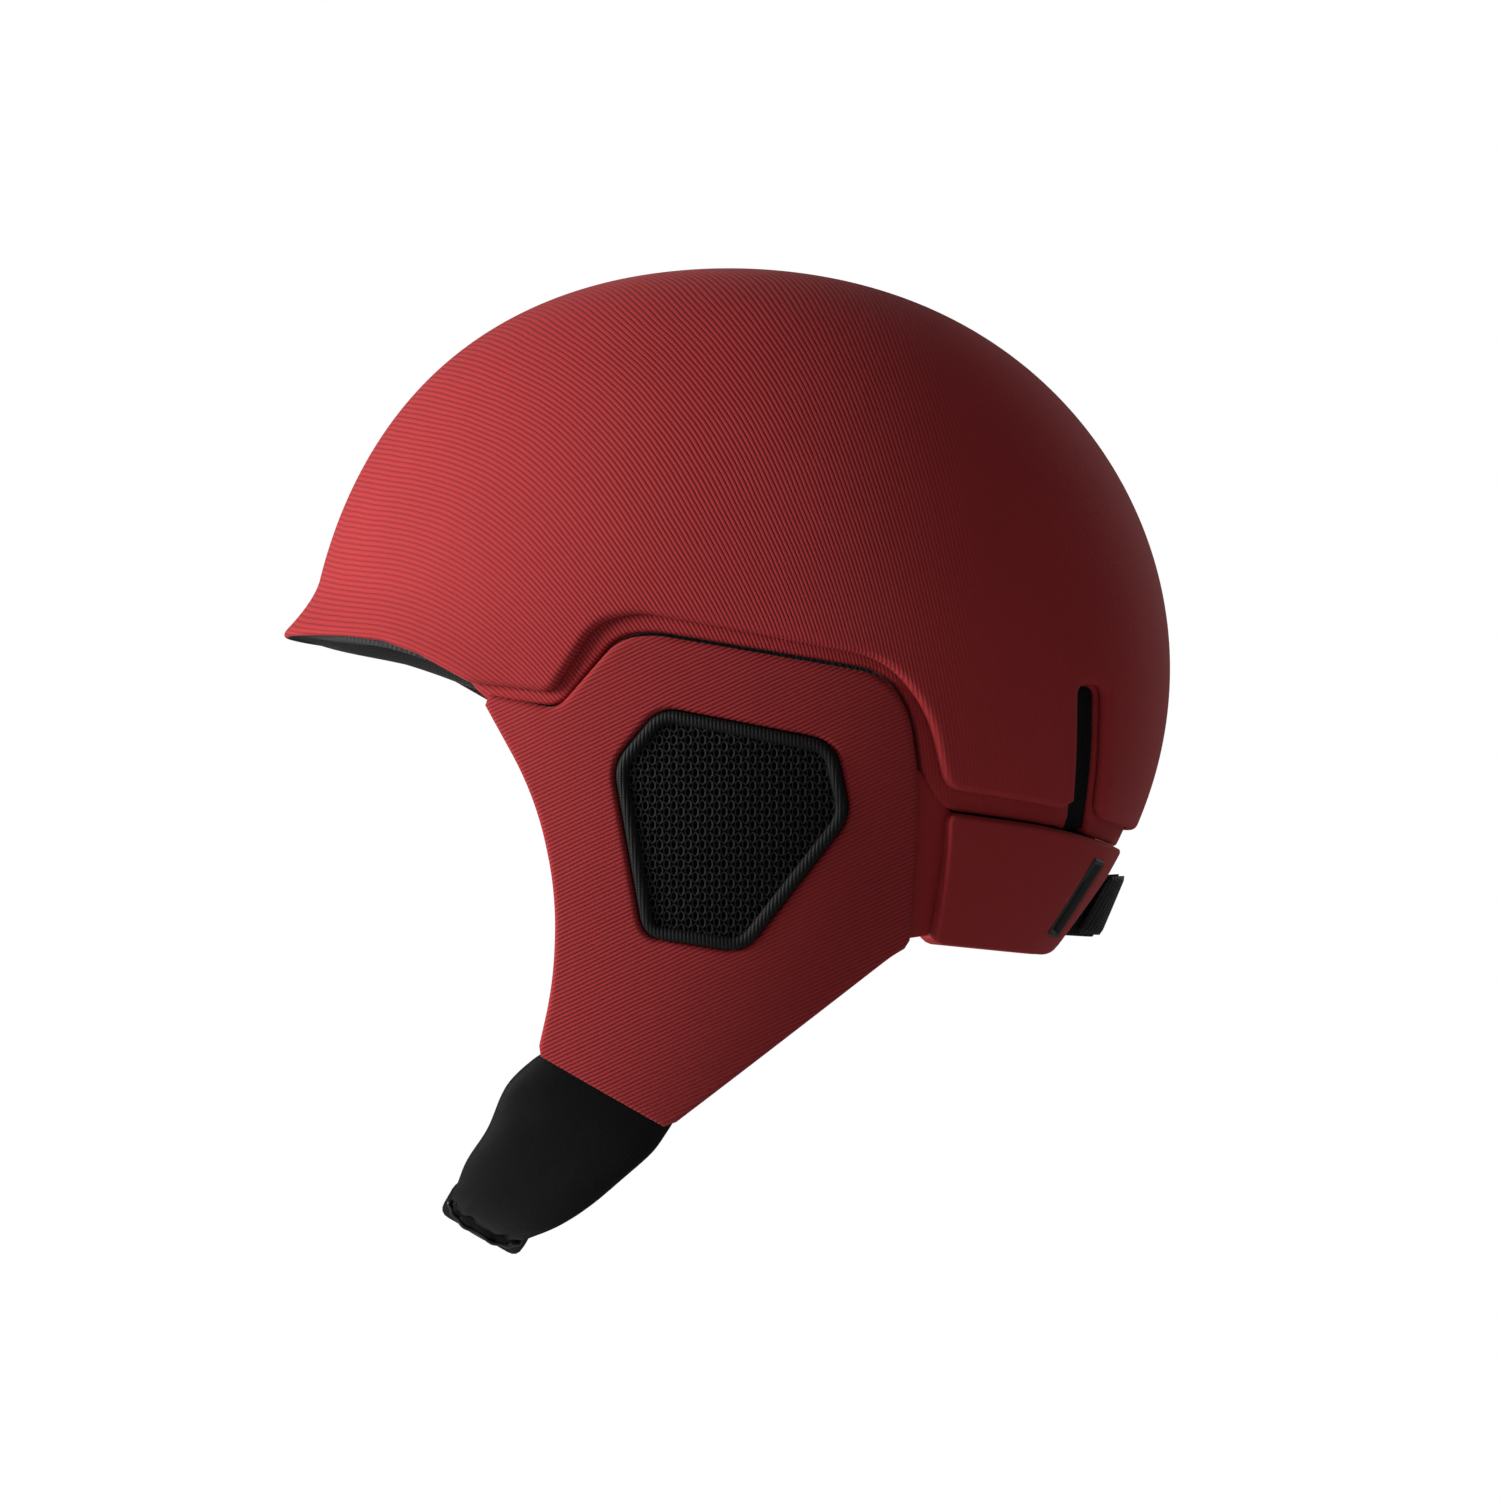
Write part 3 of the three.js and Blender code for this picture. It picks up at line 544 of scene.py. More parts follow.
# ---- materials -----------------------------------------------------------------------------------

class Finish:
    """A Principled material with helpers to chain nodes."""

    def __init__(self, name, colour, roughness, **sockets):
        self.material = bpy.data.materials.new(name)
        self.material.use_nodes = True
        self.tree = self.material.node_tree
        self.shader = self.tree.nodes["Principled BSDF"]
        self.shader.inputs["Base Color"].default_value = (*colour, 1)
        self.shader.inputs["Roughness"].default_value = roughness
        for key, value in sockets.items():
            self.shader.inputs[key.replace("_", " ")].default_value = value
        self.place = self.node("ShaderNodeTexCoord").outputs["Object"]

    def node(self, kind, **settings):
        made = self.tree.nodes.new(kind)
        for key, value in settings.items():
            setattr(made, key, value)
        return made

    def feed(self, socket, value):
        if isinstance(value, bpy.types.NodeSocket):
            self.tree.links.new(value, socket)
        else:
            socket.default_value = value

    def math(self, operation, *values):
        made = self.node("ShaderNodeMath", operation=operation)
        for socket, value in zip(made.inputs, values):
            self.feed(socket, value)
        return made.outputs[0]

    def along(self, direction):
        """Distance along a direction, in metres."""
        made = self.node("ShaderNodeVectorMath", operation="DOT_PRODUCT")
        self.feed(made.inputs[0], self.place)
        made.inputs[1].default_value = Vector(direction).normalized()
        return made.outputs["Value"]

    def noise(self, size, detail=2.0, roughness=0.5):
        """Noise whose blotches are about size metres across."""
        made = self.node("ShaderNodeTexNoise")
        self.feed(made.inputs["Vector"], self.place)
        made.inputs["Scale"].default_value = 1 / size
        made.inputs["Detail"].default_value = detail
        made.inputs["Roughness"].default_value = roughness
        return made.outputs["Fac"]

    def ridges(self, position, pitch, sharp=1.0):
        """Round ridges, 0 in the valleys and 1 on top, at a pitch in metres."""
        wave = self.math("ABSOLUTE", self.math("SINE", self.math("MULTIPLY", position, math.pi / pitch)))
        return self.math("POWER", wave, sharp)

    def blend(self, share, low, high):
        """low + (high - low) * share"""
        return self.math("MULTIPLY_ADD", share, high - low, low)

    def colour_between(self, share, low, high):
        made = self.node("ShaderNodeMix", data_type="RGBA")
        self.feed(made.inputs[0], share)
        made.inputs[6].default_value = (*low, 1)
        made.inputs[7].default_value = (*high, 1)
        self.feed(self.shader.inputs["Base Color"], made.outputs[2])

    def bump(self, height, distance):
        made = self.node("ShaderNodeBump")
        made.inputs["Strength"].default_value = 1.0
        made.inputs["Distance"].default_value = distance
        self.feed(made.inputs["Height"], height)
        self.feed(self.shader.inputs["Normal"], made.outputs["Normal"])


    def complete(self, colour, tone, shades, rough_share, rough, height, depth):
        """Colour, roughness and bump; shades and rough are the ends of their ranges."""
        self.colour_between(tone, *(shade(colour, factor) for factor in shades))
        self.feed(self.shader.inputs["Roughness"], self.blend(rough_share, *rough))
        self.bump(height, depth)
        return self.material


def shade(colour, factor):
    return tuple(min(c * factor, 1) for c in colour)


def ribbed_cloth(name, colour, pitch, rib_direction=None, thread_direction=(0, -1, 1), depth=0.00024,
                 painted_rib_shade=0.34, thread=0.0007, wobble=0.0004, fade=None):
    """Stretch cloth with fine broken ribs and a soft pile.

    Without a direction the ribs follow the mesh's rib_place. Fade is the stretch of y over which they
    sink into the cloth, and their painted shade fades with them. The colour is darker in the rib
    valleys and a little lighter on the rib tops: painted shade, over random patches of tone.
    """
    finish = Finish(name, colour, 0.82, Sheen_Weight=0.09, Sheen_Roughness=0.3,
                    Specular_IOR_Level=0.28)
    finish.shader.inputs["Sheen Tint"].default_value = (1.0, 0.62, 0.6, 1)
    waver = finish.math("MULTIPLY_ADD", finish.noise(0.018, 3), wobble * 2, -wobble)
    if rib_direction:
        straight = finish.along(rib_direction)
    else:
        straight = finish.node("ShaderNodeAttribute", attribute_name="rib_place").outputs["Fac"]
    across = finish.math("ADD", straight, waver)
    ribs = finish.ridges(across, pitch, 0.75)
    row = finish.math("FLOOR", finish.math("DIVIDE", across, pitch))
    shifted = finish.math("MULTIPLY_ADD", row, thread / 2, finish.along(thread_direction))
    threads = finish.ridges(shifted, thread, 0.8)
    fuzz = finish.noise(0.0005, 3, 0.6)
    patches = finish.noise(0.03, 2)
    weave = finish.math("MULTIPLY", ribs, finish.blend(threads, 0.8, 1.0))
    if fade:
        start, end = fade
        shown = finish.math("MULTIPLY_ADD", finish.along((0, 1, 0)), 1 / (start - end),
                            end / (end - start))
        shown = finish.math("MAXIMUM", finish.math("MINIMUM", shown, 1.0), 0.25)
        sunk = finish.math("MULTIPLY", finish.math("SUBTRACT", 1.0, weave), shown)
        weave = finish.math("SUBTRACT", 1.0, sunk)
    height = finish.math("MULTIPLY_ADD", fuzz, 0.22, weave)
    # Painted shade: the colour follows the ribs, darker in their valleys, over random patches of tone.
    tone = finish.math("MULTIPLY_ADD", finish.math("SUBTRACT", patches, 0.5), 0.3, weave)
    shades = (1 - painted_rib_shade, 1 + painted_rib_shade * 0.3)
    return finish.complete(colour, tone, shades, fuzz, (0.74, 0.92), height, depth)


def smooth_neoprene(name, colour):
    """Matte laminated jersey with a very fine grain and faint creases."""
    finish = Finish(name, colour, 0.7, Sheen_Weight=0.015, Sheen_Roughness=0.4, Specular_IOR_Level=0.16)
    grain = finish.noise(0.00045, 2)
    crease = finish.noise(0.009, 3, 0.55)
    knit = finish.ridges(finish.along((0.2, 0.5, 1)), 0.0009)
    height = finish.math("ADD", finish.math("MULTIPLY", grain, 0.3),
                         finish.math("MULTIPLY_ADD", crease, 1.2, finish.math("MULTIPLY", knit, 0.2)))
    # Painted shade: the colour follows the creases, darker in their hollows.
    return finish.complete(colour, crease, (0.8, 1.35), grain, (0.6, 0.8), height, 0.00025)


def black_knit(name, colour, direction, pitch):
    """Fine ribbed knit over a moulded rim."""
    finish = Finish(name, colour, 0.6, Sheen_Weight=0.01, Specular_IOR_Level=0.22)
    ribs = finish.ridges(finish.along(direction), pitch, 0.8)
    threads = finish.ridges(finish.along((0, -direction[2], direction[1])), pitch * 0.7, 0.8)
    weave = finish.math("MULTIPLY", ribs, finish.blend(threads, 0.7, 1.0))
    height = finish.math("MULTIPLY_ADD", finish.noise(0.0006, 2), 0.2, weave)
    # Painted shade: the colour follows the knit's relief, darker in its valleys and lighter on its ribs.
    return finish.complete(colour, weave, (0.6, 1.7), weave, (0.75, 0.5), height, 0.00022)


def webbing(name, colour):
    """Woven tape: a herringbone of small floats."""
    pitch = 0.0012
    finish = Finish(name, colour, 0.6, Sheen_Weight=0.02, Specular_IOR_Level=0.2)
    rows = finish.ridges(finish.along((0, 0.4, 1)), pitch, 0.7)
    columns = finish.ridges(finish.along((1, 0.2, 0)), pitch * 1.3, 0.7)
    weave = finish.math("MAXIMUM", finish.math("MULTIPLY", rows, 0.85), columns)
    patches = finish.noise(0.002)
    # Painted shade: the colour follows the weave's relief, darker between the floats.
    return finish.complete(colour, weave, (0.6, 1.5), patches, (0.5, 0.75), weave, 0.0003)


def loop_pile(name, colour):
    """Hook-and-loop face: a dense nap of small loops."""
    finish = Finish(name, colour, 0.85, Sheen_Weight=0.02, Sheen_Roughness=0.5, Specular_IOR_Level=0.15)
    cells = finish.node("ShaderNodeTexVoronoi")
    finish.feed(cells.inputs["Vector"], finish.place)
    cells.inputs["Scale"].default_value = 1 / 0.0011
    nap = finish.math("ADD", cells.outputs["Distance"], finish.noise(0.0007, 3, 0.7))
    # Painted shade: the colour follows the nap's relief, darker between the loops.
    return finish.complete(colour, nap, (0.5, 1.8), nap, (0.75, 0.95), nap, 0.0005)


def lining_cloth(name, colour):
    """Brushed polyester lining over foam, with a fine diamond knit."""
    finish = Finish(name, colour, 0.85, Sheen_Weight=0.06, Sheen_Roughness=0.5, Specular_IOR_Level=0.3)
    one = finish.ridges(finish.along((1, 1, 0.4)), 0.0016, 0.7)
    two = finish.ridges(finish.along((1, -1, 0.4)), 0.0016, 0.7)
    knit = finish.math("MULTIPLY", one, two)
    patches = finish.noise(0.02, 3)
    # Painted shade: the colour is darker in the knit's hollows; the patches are random tone.
    tone = finish.math("MULTIPLY_ADD", patches, 0.5, finish.math("MULTIPLY", knit, 0.5))
    height = finish.math("MULTIPLY_ADD", finish.noise(0.0006, 2), 0.3, knit)
    return finish.complete(colour, tone, (0.6, 1.5), patches, (0.75, 0.95), height, 0.0004)


def moulded(name, colour, roughness, grain=0.00012, metallic=0.0):
    """Moulded plastic, rubber or metal with a fine spark-eroded grain and slight wear."""
    finish = Finish(name, colour, roughness, Metallic=metallic, Specular_IOR_Level=0.5)
    fine = finish.noise(0.0004, 2)
    wear = finish.noise(0.006, 4, 0.6)
    rough = (roughness - 0.08, roughness + 0.12)
    height = finish.math("MULTIPLY_ADD", wear, 0.3, fine)
    return finish.complete(colour, wear, (0.8, 1.3), wear, rough, height, grain)


def make_materials():
    flap_ribs = (0, -math.sin(FLAP_RIB_ANGLE), math.cos(FLAP_RIB_ANGLE))
    flap_threads = (0, math.cos(FLAP_RIB_ANGLE), math.sin(FLAP_RIB_ANGLE))
    return dict(
        # Each red cloth's last number sets how much darker its rib valleys are painted: painted shade.
        dome=ribbed_cloth("dome_cloth", RED, 0.00122, fade=(0.04, 0.075), depth=0.00021,
                          painted_rib_shade=0.33),
        # The flap's cloth is the same red darkened to 0.9: painted shade.
        flap=ribbed_cloth("flap_cloth_painted_shade", shade(RED, 0.9), 0.00112, flap_ribs, flap_threads, depth=0.00022,
                          painted_rib_shade=0.42),
        panel=ribbed_cloth("panel_cloth", RED, 0.0011, flap_ribs, flap_threads, depth=0.00003,
                           painted_rib_shade=0.04),
        neoprene=smooth_neoprene("black_neoprene", BLACK),
        knit=black_knit("black_knit", BLACK, (0, 1, 0), 0.0011),
        mesh=smooth_neoprene("black_mesh", shade(BLACK, 4.4)),
        webbing=webbing("black_webbing", BLACK),
        pile=loop_pile("loop_pile", BLACK),
        lining=lining_cloth("grey_lining", LINING_GREY),
        plastic=moulded("black_plastic", (0.011, 0.011, 0.012), 0.38),
        gloss=moulded("gloss_piping", (0.006, 0.006, 0.0065), 0.22, grain=0.00003),
        rubber=moulded("grey_rubber", (0.02, 0.023, 0.022), 0.62),
        steel=moulded("magnet_metal", (0.55, 0.56, 0.58), 0.3, grain=0.00002, metallic=1.0),
    )


# ---- shell, core and brim ------------------------------------------------------------------------

def slit_outline(grow=0.0):
    return rounded(SLIT_OUTLINE, -grow)


def lined(points, faces, turned, front):
    """True for the faces that the lining covers: the inner face, and the edge's inside up to front."""
    ahead = points[[face[0] for face in faces]][:, 1] < front
    return (turned == 1) | (ahead & (turned > 0.5))


def make_shell(finishes):
    edge = Region(rounded(SHELL_EDGE + SHELL_CEILING), [slit_outline()])
    points, faces, turned = layer(edge, push=flare, **SHELL_LAYER)
    shell = make_object("crown_shell_cover", points, faces, [finishes["dome"], finishes["lining"]],
                        lined(points, faces, turned, -62))
    store_ribs(shell, points)
    place_piece(shell, "shell", ["crown_shell"])


def make_core(finishes):
    edge = Region(rounded(CORE_EDGE + CORE_CEILING), [slit_outline(-0.6)])
    points, faces, turned = layer(edge, **CORE_LAYER)
    core = make_object("crown_core_cover", points, faces, [finishes["dome"], finishes["lining"]],
                       lined(points, faces, turned, -89))
    store_ribs(core, points)
    place_piece(core, "shell", ["crown_core"])


def dome_radius_ahead(turn, z, depth):
    """Distance from the middle axis to the dome at an angle from straight ahead."""
    low, high = 60.0, 150.0
    for _ in range(30):
        middle = (low + high) / 2
        inside = middle * math.sin(abs(turn)) < half_width(-middle * math.cos(turn), z, depth)
        low, high = (middle, high) if inside else (low, middle)
    return low


def make_brim_underside(finishes):
    """Lining that runs from the brim's lip back and up to the brow pad."""
    loops = []
    for turn in np.linspace(-0.8, 0.8, 81):
        edge = brim_edge(turn)
        radius = dome_radius_ahead(turn, edge, 0)
        rim = np.array([[radius * math.sin(turn), -radius * math.cos(turn), edge]])
        lip = radius + np.linalg.norm(flare(rim)[0]) - 3.4
        deep = dome_radius_ahead(turn, edge, 17)
        high = dome_radius_ahead(turn, edge + 14, 16.4)
        sag = 3.4 * math.sin(math.pi * min(abs(turn) / 0.72, 1)) ** 2
        curve = [(lip, edge + 0.5), (lip - 2.2, edge + 0.6 - sag * 0.5),
                 (lip * 0.6 + deep * 0.4, edge + 1.4 - sag), (lip * 0.25 + deep * 0.75, edge + 2.4 - sag),
                 (deep, edge + 3.6 - sag * 0.6), (deep - 0.8, edge + 7), (high, edge + 14),
                 (high + 4, edge + 14), (deep + 5, edge + 6), (lip - 2, edge + 3.6)]
        loops.append([(r * math.sin(turn), -r * math.cos(turn), z) for r, z in curve])
    points, faces = loft(loops)
    lining = make_object("brim_underside", points, outward_facing(points, faces), [finishes["lining"]])
    place_piece(lining, "shell", ["brim_lining"])


def make_slit_gussets(finishes):
    """Black folded cloth in the bottom of each rear slit."""
    loops = []
    heights, middles = zip(*SLIT_COURSE)
    for z in np.linspace(-17, -63, 40):
        loop = []
        middle = np.interp(z, heights, middles)
        spread = 3 * min(max((-42 - z) / 15, 0), 1)
        for share in np.linspace(-1, 1, 9):
            y = middle + share * 5.2 + spread * (share - 1) / 2
            base = side_point(y, z)
            normal = dome_normals(base[None])[0]
            fold = 3.6 + 1.2 / (1 + math.exp(-9 * (share + 0.35)))
            loop.append(base - normal * fold)
        loop += [p - np.array([2.2, 0.8, 0]) for p in reversed(loop)]
        loops.append(loop)
    made = lofted_pair("slit_gusset_cloth", loops, finishes["pile"])
    place_pair(made, "shell", "slit_gusset")


# ---- ear flaps -----------------------------------------------------------------------------------

def make_flaps(finishes):
    region = Region(rounded(FLAP_OUTLINE), [rounded(WINDOW, -0.4)], min_x=20)
    points, faces, turned = layer(region, **FLAP_LAYER)
    made = pair("ear_flap_cover", points, faces, [finishes["flap"], finishes["lining"]], turned == 1)
    place_pair(made, "{}_flap", "ear_flap")


def swept_outline(outline, section):
    """Ring along a side-view outline; section points are (distance inwards, depth)."""
    ahead = np.roll(outline, -1, axis=0) - np.roll(outline, 1, axis=0)
    ahead /= np.linalg.norm(ahead, axis=1)[:, None]
    inward = np.stack([-ahead[:, 1], ahead[:, 0]], axis=1)
    middle = outline.mean(axis=0)
    inward *= np.sign(((middle - outline) * inward).sum())
    loops = []
    for place, way in zip(outline, inward):
        yz = np.array([place + way * distance for distance, _ in section])
        base = side_point(yz[:, 0], yz[:, 1])
        normal = dome_normals(base)
        loops.append(base - normal * np.array([[depth] for _, depth in section]))
    return loft(loops, closed_length=True)


def make_ear_frames(finishes):
    section = [(0.15, 7), (0.0, 4.4), (0.0, 2.4), (0.25, 1.5), (0.8, 0.95), (1.6, 0.75), (2.4, 0.85),
               (3.1, 1.25), (3.6, 1.9), (3.85, 2.7), (3.9, 4.5), (3.7, 7)]
    points, faces = swept_outline(resampled(rounded(WINDOW, arc_steps=12), 0.9), section)
    made = pair("ear_window_rim", points, outward_facing(points, faces), [finishes["knit"]])
    place_pair(made, "{}_flap", "ear_frame")


def mesh_cell(hole_y, hole_z, pitch_y, pitch_z):
    """Rings round one hole: (y, z, height) from the hole's back edge over the ridge to the cell's edge."""
    rings = []
    corners = [(pitch_y / 2, -pitch_z / 4), (pitch_y / 2, pitch_z / 4), (0, pitch_z / 2 * 0.98),
               (-pitch_y / 2, pitch_z / 4), (-pitch_y / 2, -pitch_z / 4), (0, -pitch_z / 2 * 0.98)]
    outer = []
    for i, corner in enumerate(corners):
        after = corners[(i + 1) % 6]
        for t in (0, 0.5):
            outer.append((corner[0] * (1 - t) + after[0] * t, corner[1] * (1 - t) + after[1] * t))
    angles = [math.atan2(z / pitch_z, y / pitch_y) for y, z in outer]
    hole = [(hole_y / 2 * math.cos(a), hole_z / 2 * math.sin(a)) for a in angles]
    for share, height in ((0, -1.3), (0, -0.25), (0.15, 0.05), (0.5, 0.14), (1, 0.16)):
        rings.append([(h[0] * (1 - share) + o[0] * share, h[1] * (1 - share) + o[1] * share, height)
                      for h, o in zip(hole, outer)])
    return rings


def make_ear_meshes(finishes):
    """Open mesh: upright columns of small oval holes, each column half a step from the next."""
    pitch_y, pitch_z, depth = 2.1, 3.8, 2.3
    limit = rounded(WINDOW, FRAME_WIDTH - 1.7)
    low, high = limit.min(axis=0), limit.max(axis=0)
    rings = mesh_cell(1.2, 2.3, pitch_y, pitch_z)
    count = len(rings[0])
    places, faces = [], []
    for i in range(int((high[0] - low[0]) / pitch_y) + 1):
        for j in range(int((high[1] - low[1]) / pitch_z) + 2):
            y = low[0] + i * pitch_y
            z = low[1] + (j + 0.5 * (i % 2)) * pitch_z
            if outline_distance(np.array([[y, z]]), limit)[0][0] < 0:
                continue
            start = len(places)
            places += [(y + dy, z + dz, dh) for ring in rings for dy, dz, dh in ring]
            for r in range(len(rings) - 1):
                for k in range(count):
                    a = start + r * count + k
                    b = start + r * count + (k + 1) % count
                    faces.append([a, a + count, b + count, b])
    places = np.array(places)
    base = side_point(places[:, 0], places[:, 1])
    points = base - dome_normals(base) * (depth - places[:, 2])[:, None]
    made = pair("ear_mesh_net", points, faces, [finishes["mesh"]])
    for side, obj in made.items():
        bm = bmesh.new()
        bm.from_mesh(obj.data)
        bmesh.ops.remove_doubles(bm, verts=bm.verts, dist=0.00005)
        bmesh.ops.recalc_face_normals(bm, faces=bm.faces)
        bm.to_mesh(obj.data)
        bm.free()
        obj.data.polygons.foreach_set("use_smooth", [True] * len(obj.data.polygons))
        place_piece(obj, f"{side}_flap", [f"ear_mesh_{side}"])


def make_ear_backings(finishes):
    """Black cloth behind the open mesh."""
    region = Region(rounded(WINDOW, 1.5), min_x=20)
    points, faces, _ = layer(region, **MESH_BACKING_LAYER)
    made = pair("ear_mesh_backing", points, faces, [finishes["neoprene"]])
    place_pair(made, "{}_flap")


# ---- groove, neck panels and nape strap ----------------------------------------------------------

def make_hinge_bands(finishes):
    region = Region(rounded(BAND_OUTLINE), min_x=20)
    points, faces, _ = layer(region, **BAND_LAYER)
    made = pair("hinge_band_cloth", points, faces, [finishes["panel"]])
    for side, obj in made.items():
        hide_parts(f"hinge_band_{side}")
        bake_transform(obj)


def slot_frame():
    """Matrix at the slot: X across it, Y up along it, Z out of the panel."""
    y, z, lean = SLOT["y"], SLOT["z"], math.radians(SLOT["lean"])
    base = side_point(y, z)
    normal = dome_normals(base[None])[0]
    leaning = np.array([0, math.sin(lean), math.cos(lean)])
    side = np.cross(leaning, normal)
    side /= np.linalg.norm(side)
    up = np.cross(normal, side)
    return base - normal * 2.5, side, up, normal


def slot_outline_side_view(grow):
    centre, side, up, normal = slot_frame()
    half_across = SLOT["width"] / 2 + SLOT["frame"] + grow
    half_along = SLOT["length"] / 2 + SLOT["frame"] + grow
    corners = []
    for a, b in ((1, 1), (-1, 1), (-1, -1), (1, -1)):
        p = centre + normal * 2.5 + side * (a * half_across) + up * (b * half_along)
        corners.append((p[1], p[2], 2))
    return rounded(corners)


def make_neck_panels(finishes):
    region = Region(rounded(PANEL_OUTLINE), [slot_outline_side_view(-0.8)], min_x=PANEL_REAR_X,
                    holes_from_x=PANEL_REAR_X)
    points, faces, turned = layer(region, **PANEL_LAYER)
    made = pair("neck_panel_cover", points, faces, [finishes["panel"], finishes["lining"]], turned == 1)
    place_pair(made, "{}_neck", "neck_panel")


def make_neck_backings(finishes):
    """Black sheet behind the gap between each neck panel and the core, which closes it: painted shade in
    the gap.
    """
    region = Region(rounded(NECK_GAP_SHADE), min_x=PANEL_REAR_X)
    points, faces, _ = layer(region, **NECK_GAP_SHADE_LAYER)
    made = pair("neck_gap_backing", points, faces, [finishes["neoprene"]])
    place_pair(made, "shell")


def make_slot_eyelets(finishes):
    """Soft moulded ring that lines the slot."""
    centre, side, up, normal = slot_frame()
    half_across = SLOT["width"] / 2 + SLOT["frame"]
    half_along = SLOT["length"] / 2 + SLOT["frame"]
    corners = [(half_across, half_along, 1.2), (-half_across, half_along, 1.2),
               (-half_across, -half_along, 1.2), (half_across, -half_along, 1.2)]
    wide = SLOT["frame"]
    section = [(0.1, -2.3), (0, 1.4), (0.2, 2.2), (0.6, 2.5), (1.5, 2.3), (wide - 0.5, 1.5), (wide, 0.6),
               (wide - 0.1, -2.3)]
    outline = resampled(rounded(corners), 0.8)
    ahead = np.roll(outline, -1, axis=0) - np.roll(outline, 1, axis=0)
    ahead /= np.linalg.norm(ahead, axis=1)[:, None]
    inward = np.stack([-ahead[:, 1], ahead[:, 0]], axis=1)
    inward *= np.sign((-outline * inward).sum())
    loops = []
    for place, way in zip(outline, inward):
        loop = []
        for distance, height in section:
            a, b = place + way * distance
            loop.append(centre + side * a + up * b + normal * height)
        loops.append(loop)
    made = lofted_pair("slot_ring", loops, finishes["rubber"], closed_length=True)
    place_pair(made, "{}_neck", "slot_eyelet")


def strap_point(x):
    half = STRAP["bow_half_width"]
    bow = math.cos(math.pi * x / (2 * half)) ** 2 if abs(x) < half else 0
    return np.array([x, STRAP["y"] - STRAP["curve"] * x * x + STRAP["bow"] * bow, STRAP["z"]]), bow


def strap_loop(x, half_height, inner, outer, ripple=0.0):
    """Section of the strap with rounded edges."""
    ahead = strap_point(x + 0.5)[0] - strap_point(x - 0.5)[0]
    ahead /= np.linalg.norm(ahead)
    outward = np.array([-ahead[1], ahead[0], 0])
    centre, bow = strap_point(x)
    lean = math.radians(STRAP["end_lean"] + (STRAP["bow_lean"] - STRAP["end_lean"]) * bow)
    rise = np.array([0, math.tan(lean), 1])
    rise /= np.linalg.norm(rise)
    middle, half = (inner + outer) / 2, (outer - inner) / 2
    loop = []
    for up in np.linspace(-1, 1, 13):
        edge = math.sqrt(max(1 - abs(up) ** 14, 0.12))
        loop.append((up * half_height, middle + half * edge))
    loop += [(up, 2 * middle - out) for up, out in reversed(loop)]
    return [centre + rise * up + outward * (out + ripple * math.sin(x * 0.35 + up * 0.2))
            for up, out in loop]


def make_strap(finishes):
    half = STRAP["thickness"] / 2
    loops = [strap_loop(x, STRAP["width"] / 2, -half, half)
             for x in np.linspace(-STRAP["anchor_x"], STRAP["anchor_x"], 90)]
    points, faces = loft(loops)
    strap = make_object("nape_webbing", points, outward_facing(points, faces), [finishes["pile"]])
    place_piece(strap, "strap", ["nape_strap"])
    inner = half + TAB["gap"]
    loops = []
    for x in np.linspace(-TAB["half_length"], TAB["half_length"], 40):
        away = max(TAB["half_length"] - abs(x), 0)
        narrowing = 1.6 * max(1 - away / 2.5, 0) ** 2
        loops.append(strap_loop(x, TAB["height"] / 2 - narrowing, inner, inner + TAB["thickness"]))
    points, faces = loft(loops)
    tab = make_object("strap_tab_cloth", points, outward_facing(points, faces), [finishes["webbing"]])
    place_piece(tab, "tab", ["strap_tab"])


# ---- chin strap ----------------------------------------------------------------------------------

def buckle_matrix():
    turned = np.array(Matrix.Rotation(BUCKLE_TILT, 3, "X"))
    return turned, np.array(BUCKLE_CENTRE, float)


def curve_through(values, at):
    """Catmull-Rom curve through rows of values, at being a place counted in rows."""
    values = np.asarray(values, float)
    i = min(int(at), len(values) - 2)
    t = at - i
    p0 = values[max(i - 1, 0)]
    p1, p2 = values[i], values[i + 1]
    p3 = values[min(i + 2, len(values) - 1)]
    return 0.5 * (2 * p1 + (p2 - p0) * t + (2 * p0 - 5 * p1 + 4 * p2 - p3) * t * t
                  + (3 * p1 - p0 - 3 * p2 + p3) * t ** 3)


def oval(count, squareness=0.72):
    angles = np.linspace(0, 2 * np.pi, count, endpoint=False)
    across = np.sign(np.cos(angles)) * np.abs(np.cos(angles)) ** squareness
    out = np.sign(np.sin(angles)) * np.abs(np.sin(angles)) ** squareness
    return angles, across, out


def make_sleeves(finishes):
    """Neoprene sleeve that narrows to the buckle, with gathers towards its end."""
    turned, _ = buckle_matrix()
    end_width, end_thickness = turned[:, 1], turned[:, 2]
    centres = [s[0] for s in SLEEVE_STATIONS]
    sizes = [s[1:] for s in SLEEVE_STATIONS]
    last = len(SLEEVE_STATIONS) - 1
    angles, across, out = oval(72)
    loops = []
    for at in np.linspace(0, last, 85):
        share = min(max((at - 1) / (last - 2), 0), 1)
        width_axis = (1 - share) * np.array(SLEEVE_WIDTH_AXIS) + share * end_width
        thick_axis = (1 - share) * np.array(SLEEVE_THICKNESS_AXIS) + share * end_thickness
        width_axis /= np.linalg.norm(width_axis)
        thick_axis /= np.linalg.norm(thick_axis)
        width, thickness = curve_through(sizes, at)
        gather = max(at - last + 2.2, 0) / 2.2
        folds = gather ** 1.5 * (0.55 * np.sin(9 * angles + 2.0 * at) + 0.35 * np.sin(17 * angles + 1.3))
        creases = 0.22 * np.sin(3.1 * at + 2 * angles) * np.sin(angles * 3 + at) * min(at, 1)
        grow = folds + creases
        centre = curve_through(centres, at)
        loops.append(centre + np.outer(across * (width / 2 + grow), width_axis)
                     + np.outer(out * (thickness / 2 + grow), thick_axis))
    made = lofted_pair("chin_sleeve_cloth", loops, finishes["neoprene"])
    place_pair(made, "{}_flap", "chin_sleeve")


